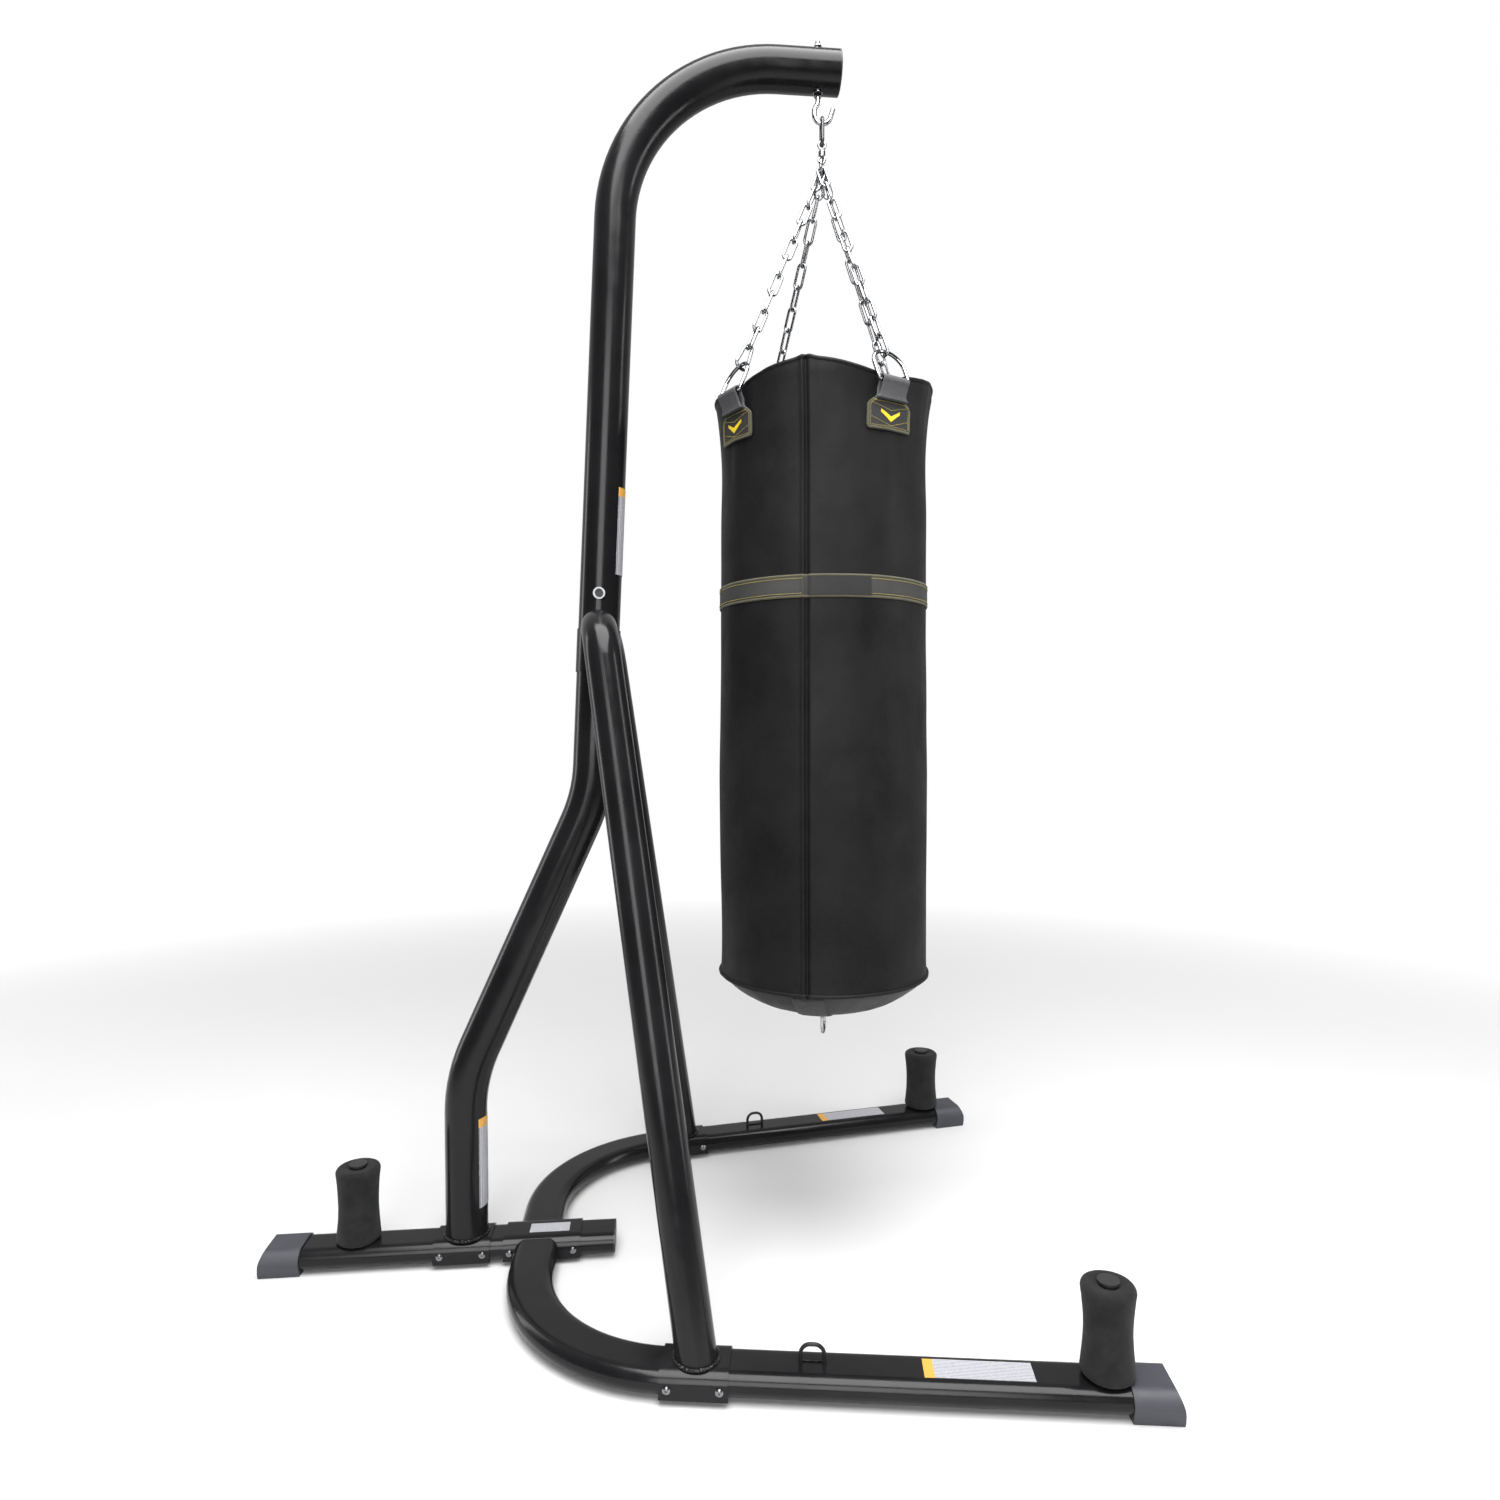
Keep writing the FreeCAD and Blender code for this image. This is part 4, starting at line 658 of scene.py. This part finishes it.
def tube_along(name, points, radii, sides=10, closed=True, ups=None):
    """Round tube through points, with a radius at each."""
    rows = []
    count = len(points)
    for k, point in enumerate(points):
        ahead = points[(k + 1) % count] if closed or k < count - 1 else point
        behind = points[k - 1] if closed or k > 0 else point
        along = (ahead - behind).normalized()
        up = ups[k] if ups else Vector((0, 0, 1))
        side = along.cross(up).normalized()
        above = side.cross(along).normalized()
        rows.append([point + side * (radii[k] * math.cos(a)) + above * (radii[k] * math.sin(a))
                     for a in circle(sides)])
    tube = grid_object(name, rows, loop_rows=closed, loop_columns=True)
    if closed:
        return face_outwards(tube)
    capped(tube, triangles=False)
    tube.data.shade_smooth()
    return tube


def make_rim():
    """Piped edge round the mouth of the bag. It flattens where a tab covers it."""
    points = []
    radii = []
    for theta in bag_angles(0.004, 0.002):
        covered = sum(smoothstep(TAB_HALF_TOP + 0.004, TAB_HALF_TOP - 0.001, abs(distance))
                      for distance in tab_distances(theta))
        points.append(bag_point(theta, rim_height(theta) - 0.0012, -SKIN_THICKNESS / 2 - 0.001 * covered))
        radii.append(PIPING_RADIUS - PIPING_FLATTENED * covered)
    rim = tube_along("bag_rim", points, radii)
    finished(rim, BAG_LEATHER, "bag", "bag_leather", "bag_rim_piping")


def make_lid():
    """Sunken cover over the filling, with a soft crown."""
    rings = 22
    rows = []
    for i in range(1, rings + 1):
        share = i / rings
        radius = share * (BAG_RADIUS - SKIN_THICKNESS - LID_GAP)
        row = []
        for theta in circle(96):
            spot = Vector((math.cos(theta) * share * 4, math.sin(theta) * share * 4, 2))
            row.append(from_axis(theta, radius, LID_Z + 0.001 + 0.0022 * noise.noise(spot) * (1 - share)))
        rows.append(row)
    lid = grid_object("bag_mouth_cover", rows, loop_columns=True)
    bm = bmesh.new()
    bm.from_mesh(lid.data)
    inner = [edge for edge in bm.edges if edge.is_boundary
             and all(Vector((v.co.x - HANG_X, v.co.y)).length < 0.03 for v in edge.verts)]
    bmesh.ops.holes_fill(bm, edges=inner)
    bm.to_mesh(lid.data)
    bm.free()
    thicken(lid, LID_THICKNESS)
    finished(lid, LINER_FABRIC, "bag", "lid_fabric", "bag_lid")


def dome_height(radius, theta=0.0):
    """Sagging bottom panel, pleated near its edge."""
    share = min(radius / BAG_RADIUS, 1.0)
    edge_z = BAG_BASE - SKIN_THICKNESS
    z = edge_z - (edge_z - DOME_LOW) * (1 - share ** 3)
    pleat = noise.noise(Vector((math.cos(theta) * 7, math.sin(theta) * 7, share * 2)))
    return z + 0.0016 * pleat * smoothstep(0.45, 0.9, share) * (1 - smoothstep(0.97, 1.0, share))


def make_base_panel():
    """Round bottom panel, sewn to the side with a turned welt."""
    rings = 40
    angles = bag_angles(0.006, 0.002)
    edges = [bag_radius(theta, BAG_BASE) - 0.001 for theta in angles]
    rows = []
    for i in range(1, rings + 1):
        share = (i / rings) ** 0.8
        rows.append([from_axis(theta, share * edge, dome_height(share * BAG_RADIUS, theta))
                     for theta, edge in zip(angles, edges)])
    rows.append([from_axis(theta, edge, BAG_BASE + 0.001) for theta, edge in zip(angles, edges)])
    panel = grid_object("bag_base", rows, loop_columns=True)
    bm = bmesh.new()
    bm.from_mesh(panel.data)
    centre = bm.verts.new((HANG_X, 0, DOME_LOW))
    bm.verts.ensure_lookup_table()
    count = len(angles)
    for j in range(count):
        bm.faces.new((bm.verts[j], bm.verts[(j + 1) % count], centre))
    bm.to_mesh(panel.data)
    bm.free()
    thicken(panel, PANEL_THICKNESS)
    finished(panel, BASE_LEATHER, "bag", "bottom_leather", "bag_bottom_panel")
    points = [bag_point(theta, BAG_BASE - 0.0005, 0.0004) for theta in angles]
    welt = tube_along("base_welt", points, [WELT_RADIUS] * len(points))
    finished(welt, BAG_LEATHER, "bag", "bag_leather")


def band(name, angles, z_low, z_high, lift, thickness, steps=6):
    """Band that lies on the bag's side, closed, with softened edges."""
    profile = []
    for k in range(steps + 1):
        t = k / steps
        edge = 1 - 0.5 * bump(min(t, 1 - t) * (z_high - z_low), 0.0012)
        profile.append((z_low + (z_high - z_low) * t, lift + thickness * edge))
    profile += [(z_high, lift), (z_low, lift)]
    rows = [[bag_point(theta, z, out) for theta in angles] for z, out in profile]
    return face_outwards(grid_object(name, rows, loop_rows=True, loop_columns=True))


def patch(name, back, face, spans):
    """Patch on the bag's side with its back and face this far out, from (bearing, low, high) spans."""
    rows = []
    for theta, low, high in spans:
        corners = ((low, back), (high, back), (high, face), (low, face))
        rows.append([bag_point(theta, z, out) for z, out in corners])
    return capped(grid_object(name, rows, loop_columns=True, smooth=False))


def stitches(name, lines, pitch=0.0042, length=0.0031, radius=0.0005):
    """Rows of short raised stitches along lines of (point, normal)."""
    sides = 6
    sections = ((-0.5, 0.35), (-0.3, 1.0), (0.3, 1.0), (0.5, 0.35))  # place along a stitch, and size
    vertices = []
    faces = []
    for line in lines:
        distance = 0.0
        goal = pitch / 2
        for (a, normal), (b, _normal_b) in zip(line, line[1:]):
            step = (b - a).length
            while step > 0 and distance + step >= goal:
                centre = a.lerp(b, (goal - distance) / step)
                along = (b - a).normalized()
                side = along.cross(normal).normalized()
                base = len(vertices)
                for offset, size in sections:
                    middle = centre + along * (offset * length)
                    for angle in circle(sides):
                        vertices.append(middle + side * (radius * size * math.cos(angle))
                                        + normal * (radius * size * math.sin(angle)))
                for ring in range(len(sections) - 1):
                    for k in range(sides):
                        p = base + ring * sides + k
                        q = base + ring * sides + (k + 1) % sides
                        faces.append((p, q, q + sides, p + sides))
                last = base + (len(sections) - 1) * sides
                faces.append(tuple(base + k for k in reversed(range(sides))))
                faces.append(tuple(last + k for k in range(sides)))
                goal += pitch
            distance += step
    return face_outwards(new_object(name, vertices, faces))


def surface_line(points, out):
    """(point, normal) pairs for (theta, z) points on the bag's side."""
    return [(bag_point(theta, z, out), toward(theta)) for theta, z in points]


def make_belt():
    """Belt round the bag: grey band, darker lapped end, olive edges and a row of stitches along each."""
    angles = bag_angles(0.005, 0.0012)
    low = BELT_LOW.z
    high = BELT_HIGH.z
    belt = band("bag_belt_band", angles, low, high, 0.0001, BELT_THICKNESS)
    finished(belt, BELT_LEATHER, "bag", "belt_webbing", "bag_belt")
    lap = [SEAM_ANGLE + (0.004 + OVERLAP_LENGTH * k / 60) / BAG_RADIUS for k in range(61)]
    end = patch("bag_belt_end", 0.0012, 0.0027, [(theta, low + 0.003, high - 0.003) for theta in lap])
    finished(end, BELT_DARK, "bag", "belt_webbing")
    trims = [band("trim", angles, z_low, z_high, 0.0004, TRIM_THICKNESS, 4)
             for z_low, z_high in ((low - 0.0005, low + TRIM_WIDTH), (high - TRIM_WIDTH, high + 0.0005))]
    finished(joined("belt_trim", trims), TRIM_OLIVE, "bag", "belt_webbing")
    full = [SEAM_ANGLE + 0.03 + (2 * math.pi - 0.06) * k / 700 for k in range(701)]
    lines = [surface_line([(theta, z) for theta in full], 0.0022)
             for z in (low + TRIM_WIDTH + 0.0022, high - TRIM_WIDTH - 0.0022)]
    finished(stitches("belt_stitches", lines), YELLOW_THREAD, "bag", "belt_webbing")


# --- strap tabs ---

def tab_half_width(z):
    """Half width of a tab: narrow at the ring, flared at the bottom."""
    flare = 1 - smoothstep(TAB_SHOULDER_LOW_Z - 0.002, TAB_SHOULDER_Z + 0.002, z)
    return TAB_HALF_TOP + (TAB_HALF_LOW - TAB_HALF_TOP) * flare


def tab_path():
    """Middle line of a tab as (radius, z), from its bottom edge, up the bag, over the bar and down again."""
    steps = 26
    top = RING_BAR_Z - 0.012
    line = [(None, TAB_BOTTOM_Z + (top - TAB_BOTTOM_Z) * k / steps) for k in range(steps + 1)]
    for k in range(19):
        angle = math.radians(200 - 250 * k / 18)
        line.append((RING_BAR_RADIUS + TAB_FOLD_RADIUS * math.cos(angle),
                     RING_BAR_Z + TAB_FOLD_RADIUS * math.sin(angle)))
    for k in range(1, 9):
        share = k / 8
        line.append((RING_BAR_RADIUS + 0.0037 - 0.0079 * math.sin(share * math.pi / 2),
                     RING_BAR_Z - 0.0045 - (RING_BAR_Z - 0.0045 - TAB_SHOULDER_LOW_Z - 0.007) * share))
    return line


def tab_point(bearing, radius, z, across, lift=0.0):
    """Point on a tab. Where the path has no radius it follows the bag's own surface."""
    if radius is None:
        rise = 0.0016 * smoothstep(BAG_TOP - 0.03, BAG_TOP, z)
        return bag_point(bearing + across / BAG_RADIUS, z, TAB_LIFT + rise + lift)
    tangent = Vector((-math.sin(bearing), math.cos(bearing), 0))
    return Vector((HANG_X, 0, z)) + toward(bearing) * radius + tangent * across


def make_tab_strap(name, bearing):
    """The tab itself: one strap up the bag and round the D-ring's bar; its upper part gets a lighter copy of
    the leather, a painted highlight for the light that falls on it.
    """
    tangent = Vector((-math.sin(bearing), math.cos(bearing), 0))
    columns = 18
    path = tab_path()
    middle = [tab_point(bearing, radius, z, 0.0) for radius, z in path]
    rows = []
    for k, (radius, z) in enumerate(path):
        run = (middle[min(k + 1, len(middle) - 1)] - middle[max(k - 1, 0)]).normalized()
        normal = run.cross(tangent) * -1
        half = tab_half_width(z)
        if radius is None:
            corner = max(0.0, TAB_CORNER - (z - TAB_BOTTOM_Z))
            half -= TAB_CORNER - math.sqrt(max(TAB_CORNER ** 2 - corner ** 2, 0.0))
        outer = []
        inner = []
        for j in range(columns + 1):
            across = half * (2 * j / columns - 1)
            soft = TAB_THICKNESS * (1 - 0.35 * bump(half - abs(across), 0.0015))
            here = tab_point(bearing, radius, z, across)
            if radius is None:
                outer.append(tab_point(bearing, radius, z, across, soft))
                inner.append(here)
            else:
                outer.append(here + normal * (soft * 0.5))
                inner.append(here - normal * (TAB_THICKNESS * 0.5))
        rows.append(outer + inner[::-1])
    tab = capped(grid_object("tab_" + name, rows, loop_columns=True))
    tab.data.shade_smooth()
    finished(tab, TAB_LEATHER, "bag", "tab_webbing", "strap_tab_" + name)
    # polygons above the shoulder take the lighter copy: painted light on the tab's upper part
    tab.data.materials.append(TAB_BAND_PAINTED_LIGHT)
    for polygon in tab.data.polygons:
        polygon.material_index = 1 if polygon.center.z > TAB_SHOULDER_LOW_Z + 0.009 else 0


def tab_outline(bearing, inset):
    """(theta, z) points round the flared part of a tab, this far inside its edge."""
    low = TAB_BOTTOM_Z + inset
    top = TAB_SHOULDER_LOW_Z + 0.008
    points = []
    for k in range(19):
        z = top + (low - top) * k / 18
        points.append((bearing - (tab_half_width(z) - inset) / BAG_RADIUS, z))
    for k in range(1, 16):
        across = (tab_half_width(low) - inset) * (2 * k / 16 - 1)
        points.append((bearing + across / BAG_RADIUS, low))
    for k in range(19):
        z = low + (top - low) * k / 18
        points.append((bearing + (tab_half_width(z) - inset) / BAG_RADIUS, z))
    return points


def make_tab_border(name, bearing):
    """Olive binding round the flared part, pressed flat where it stands out too far."""
    outline = tab_outline(bearing, 0.0026)
    points = [bag_point(theta, z, TAB_FACE - 0.0007) for theta, z in outline]
    ups = [toward(theta) for theta, _z in outline]
    border = tube_along("tab_border_" + name, points, [TAB_BORDER_RADIUS] * len(points), 8, False, ups)
    for vertex in border.data.vertices:
        here = Vector((vertex.co.x - HANG_X, vertex.co.y))
        limit = bag_radius(math.atan2(here.y, here.x), vertex.co.z) + TAB_FACE + 0.0006
        if here.length > limit:
            here *= limit / here.length
            vertex.co.x = HANG_X + here.x
            vertex.co.y = here.y
    finished(border, TRIM_OLIVE, "bag", "tab_webbing")


def make_tab_stitches(name, bearing):
    """Stitches inside the border, across the shoulder, and in a V at the top and at the bottom."""
    out = TAB_FACE + THREAD_LIFT
    reach = tab_half_width(TAB_CROSS_Z) - 0.005
    across_line = [(bearing + reach * (2 * k / 20 - 1) / BAG_RADIUS, TAB_CROSS_Z) for k in range(21)]
    lines = [surface_line(tab_outline(bearing, 0.006), out), surface_line(across_line, out)]
    half = TAB_HALF_LOW - 0.007
    for start_z, end_z in ((TAB_CROSS_Z - 0.003, TAB_CROSS_Z - 0.012),
                           (TAB_BOTTOM_Z + 0.018, TAB_BOTTOM_Z + 0.007)):
        for side in (-1, 1):
            line = [(bearing + side * half * (1 - k / 12) / BAG_RADIUS, start_z + (end_z - start_z) * k / 12)
                    for k in range(13)]
            lines.append(surface_line(line, out))
    sewing = stitches("tab_stitches_" + name, lines, 0.0034, 0.0025, 0.00045)
    finished(sewing, YELLOW_THREAD, "bag", "tab_webbing")


def make_tab_chevron(name, bearing):
    """Plain raised chevron in the middle of a tab."""
    middle_z = (TAB_BOTTOM_Z + TAB_CROSS_Z) / 2 - 0.004
    spans = []
    for k in range(17):
        across = CHEVRON_HALF * (2 * k / 16 - 1)
        rise = CHEVRON_SLOPE * abs(across)
        depth = CHEVRON_DEPTH * (1 - 0.45 * abs(across) / CHEVRON_HALF)
        low = middle_z + rise - depth / 2
        high = middle_z + rise + depth / 2
        spans.append((bearing + across / BAG_RADIUS, low, high))
    motif = patch("tab_chevron_" + name, TAB_FACE - 0.0002, TAB_FACE + 0.0007, spans)
    finished(motif, MOTIF_YELLOW, "bag", "tab_webbing")


# --- bottom strap ---

def make_bottom_strap():
    """Webbing across the bottom panel, with the folded tab that holds the ring."""
    along = toward(SEAM_ANGLE)
    across = Vector((-along.y, along.x, 0))
    lengths = 64
    reach = BAG_RADIUS - 0.002
    rows = []
    for k in range(lengths + 1):
        outer = []
        inner = []
        for j in range(11):
            b = STRAP_HALF * (2 * j / 10 - 1)
            flat = along * (reach * (2 * k / lengths - 1)) + across * b
            z = dome_height(min(flat.length, BAG_RADIUS - 0.0005)) - 0.0006
            soft = STRAP_THICKNESS * (1 - 0.4 * bump(STRAP_HALF - abs(b), 0.002))
            outer.append(Vector((HANG_X, 0, z - soft)) + flat)
            inner.append(Vector((HANG_X, 0, z)) + flat)
        rows.append(outer + inner[::-1])
    strap = capped(grid_object("bottom_webbing", rows, loop_columns=True), triangles=False)

    bar_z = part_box("bottom_ring")[1].z - STRAP_RING_WIRE
    hang = DOME_LOW - 0.002
    loop = []
    for k in range(21):
        angle = math.radians(25 + 310 * k / 20)
        loop.append((STRAP_FOLD_RADIUS * math.sin(angle), bar_z + STRAP_FOLD_RADIUS * math.cos(angle)))
    path = [(0.0013, hang)] + loop + [(-0.0013, hang)]
    rows = []
    for k, (b, z) in enumerate(path):
        ahead = path[min(k + 1, len(path) - 1)]
        behind = path[max(k - 1, 0)]
        run = Vector((ahead[0] - behind[0], ahead[1] - behind[1])).normalized()
        normal = Vector((run.y, -run.x)) * STRAP_FOLD_HALF
        front = [Vector((HANG_X, 0, z + normal.y)) + along * a + across * (b + normal.x)
                 for a in STRAP_FOLD_STOPS]
        back = [Vector((HANG_X, 0, z - normal.y)) + along * a + across * (b - normal.x)
                for a in reversed(STRAP_FOLD_STOPS)]
        rows.append(front + back)
    fold = capped(grid_object("fold", rows, loop_columns=True), triangles=False)
    both = joined("bottom_webbing_strap", [strap, fold])
    finished(both, STRAP_WEB, "bag", "bottom_webbing", "bottom_strap")


# --- foam sleeves ---

def foam_outline(low, top):
    """Section of a sleeve as (radius, z): rounded ends, a waist, and the bore with its mouth."""
    quarter = [math.pi / 2 * k / 5 for k in range(6)]
    outline = [(FOAM_END_RADIUS - FOAM_EDGE + FOAM_EDGE * math.sin(angle),
                low + FOAM_EDGE - FOAM_EDGE * math.cos(angle)) for angle in quarter]
    steps = 30
    for k in range(1, steps):
        t = k / steps
        outline.append((FOAM_WAIST_RADIUS + FOAM_FLARE * abs(2 * t - 1) ** 1.8,
                        low + FOAM_EDGE + (top - low - 2 * FOAM_EDGE) * t))
    outline += [(FOAM_END_RADIUS - FOAM_EDGE + FOAM_EDGE * math.cos(angle),
                 top - FOAM_EDGE + FOAM_EDGE * math.sin(angle)) for angle in quarter]
    return outline + [(FOAM_MOUTH_RADIUS, top - 0.0006), (FOAM_BORE_RADIUS, top - 0.002),
                      (FOAM_BORE_RADIUS, low + 0.001)]


def make_foam():
    """Hourglass foam sleeves, each a little uneven outside its bore."""
    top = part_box("foam_sleeves")[1].z
    pegs = {"rear": [], "left": [], "right": []}
    for vertex in nodes["peg_caps"].data.vertices:
        pegs["rear" if vertex.co.x < 0 else "left" if vertex.co.y > 0 else "right"].append(vertex.co)
    for index, (side, spots) in enumerate(pegs.items()):
        centre_x = (min(c.x for c in spots) + max(c.x for c in spots)) / 2
        centre_y = (min(c.y for c in spots) + max(c.y for c in spots)) / 2
        low = min(v.co.z for v in nodes["foam_sleeves"].data.vertices
                  if abs(v.co.x - centre_x) < PEG_REACH and abs(v.co.y - centre_y) < PEG_REACH)
        rows = []
        for radius, z in foam_outline(low, top):
            row = []
            for theta in circle(FOAM_SIDES):
                around = toward(theta)
                wobble = 0.0006 * noise.noise(around * 1.4 + Vector((index * 7.0, 0, z * 22)))
                pore = 0.00025 * noise.noise(around * 14 + Vector((0, index * 5.0, z * 420)))
                r = radius + (wobble + pore if radius > FOAM_MOUTH_RADIUS else 0.0)
                row.append(Vector((centre_x + r * around.x, centre_y + r * around.y, z)))
            rows.append(row)
        sleeve = face_outwards(grid_object("foam_" + side, rows, loop_rows=True, loop_columns=True))
        finished(sleeve, FOAM, "frame", "foam", "foam_sleeves")


# --- labels ---

def make_label_prints():
    """Printed faces for the labels, one material for each place."""
    rails = nodes["rail_labels"]
    rails.data.materials.clear()
    for sign in (1, -1):
        spots = [v.co for v in rails.data.vertices if v.co.y * sign > 0]
        along = Vector((math.cos(RAIL_FLARE), sign * math.sin(RAIL_FLARE), 0))
        side = Vector((-along.y, along.x, 0))
        start = along * min(c.dot(along) for c in spots) + side * min(c.dot(side) for c in spots)
        rails.data.materials.append(label_print("rail_label_%d" % sign, along, side, start, RAIL_LABEL))
    for polygon in rails.data.polygons:
        polygon.material_index = 0 if polygon.center.y > 0 else 1
    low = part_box("saddle_label")[0]
    plate = label_print("saddle_label_print", Vector((1, 0, 0)), Vector((0, 1, 0)), low, SADDLE_LABEL)
    paint_node(plate, "saddle_label")
    uprights = nodes["upright_labels"]
    uprights.data.materials.clear()
    middle_z = sum(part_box("upright_labels"), Vector()).z / 2
    for index, is_low in enumerate((True, False)):
        spots = [v.co for v in uprights.data.vertices if (v.co.z < middle_z) == is_low]
        start = Vector((0, min(c.y for c in spots), max(c.z for c in spots)))
        uprights.data.materials.append(label_print("upright_label_%d" % index, Vector((0, 0, -1)),
                                                   Vector((0, 1, 0)), start, UPRIGHT_LABEL))
    for polygon in uprights.data.polygons:
        polygon.material_index = 0 if polygon.center.z < middle_z else 1


# --- studio ---

def make_camera():
    forward = Vector((math.sin(CAMERA_YAW) * math.cos(CAMERA_PITCH),
                      math.cos(CAMERA_YAW) * math.cos(CAMERA_PITCH), math.sin(CAMERA_PITCH)))
    level = Vector((math.cos(CAMERA_YAW), -math.sin(CAMERA_YAW), 0))
    above = level.cross(forward)
    right = level * math.cos(CAMERA_ROLL) + above * math.sin(CAMERA_ROLL)
    up = above * math.cos(CAMERA_ROLL) - level * math.sin(CAMERA_ROLL)
    data = bpy.data.cameras.new("camera")
    data.lens = CAMERA_LENS
    data.sensor_width = CAMERA_SENSOR
    data.clip_start = 0.01
    camera = placed("camera", data)
    turn = Matrix((right, up, -forward)).transposed().to_4x4()
    camera.matrix_world = Matrix.Translation(CAMERA_PLACE) @ turn
    bpy.context.scene.camera = camera


def softbox(name, place, target, width, height, power):
    """Rectangular area light aimed at a point."""
    data = bpy.data.lights.new(name, "AREA")
    data.shape = "RECTANGLE"
    data.size = width
    data.size_y = height
    data.energy = power
    light = placed(name, data)
    light.location = place
    light.rotation_euler = (Vector(target) - Vector(place)).to_track_quat("-Z", "Y").to_euler()


def make_floor():
    """Pale floor that fades into the white surround a few metres out."""
    corners = [(x * FLOOR_HALF, y * FLOOR_HALF, 0) for x, y in ((-1, -1), (1, -1), (1, 1), (-1, 1))]
    floor = new_object("floor", corners, [(0, 1, 2, 3)], smooth=False)
    pale = Paint("pale_floor", FLOOR_COLOR, 0.9)
    pale.fixed(Specular_IOR_Level=0.0)
    distance = pale.node("ShaderNodeVectorMath", operation="LENGTH")
    pale.link(pale.place, distance.inputs[0])
    pale.link(pale.ranged(distance.outputs["Value"], 1.0, 0.0, *FLOOR_FADE), pale.shader.inputs["Alpha"])
    floor.data.materials.append(pale.material)


def make_world():
    """White surround. What lights and reflects is bright behind the object and dim in front of it."""
    world = bpy.data.worlds.new("studio")
    world.use_nodes = True
    bpy.context.scene.world = world
    tree = world.node_tree
    background = tree.nodes["Background"]
    place = tree.nodes.new("ShaderNodeTexCoord")
    parts = tree.nodes.new("ShaderNodeSeparateXYZ")
    tree.links.new(place.outputs["Generated"], parts.inputs["Vector"])
    ramp = tree.nodes.new("ShaderNodeMapRange")
    ramp.interpolation_type = "SMOOTHSTEP"
    ramp.inputs["From Min"].default_value = SURROUND_TURN[0]
    ramp.inputs["From Max"].default_value = SURROUND_TURN[1]
    ramp.inputs["To Min"].default_value = SURROUND_DIM
    ramp.inputs["To Max"].default_value = SURROUND_BRIGHT
    tree.links.new(parts.outputs["Y"], ramp.inputs["Value"])
    path = tree.nodes.new("ShaderNodeLightPath")
    strength = tree.nodes.new("ShaderNodeMix")
    strength.data_type = "FLOAT"
    strength.inputs[3].default_value = 1.0
    tree.links.new(path.outputs["Is Camera Ray"], strength.inputs[0])
    tree.links.new(ramp.outputs["Result"], strength.inputs[2])
    tree.links.new(strength.outputs[0], background.inputs["Strength"])
    background.inputs["Color"].default_value = (1, 1, 1, 1)


make_camera()
make_floor()
make_world()
for box in SOFTBOXES:
    softbox(*box)
bpy.context.scene.view_settings.view_transform = "Standard"
make_bag_body()
make_padding()
make_rim()
make_lid()
make_base_panel()
make_belt()
for tab_name, tab_angle in zip(TAB_NAMES, TAB_ANGLES):
    make_tab_strap(tab_name, tab_angle)
    make_tab_border(tab_name, tab_angle)
    make_tab_stitches(tab_name, tab_angle)
    make_tab_chevron(tab_name, tab_angle)
make_bottom_strap()
make_foam()
make_label_prints()
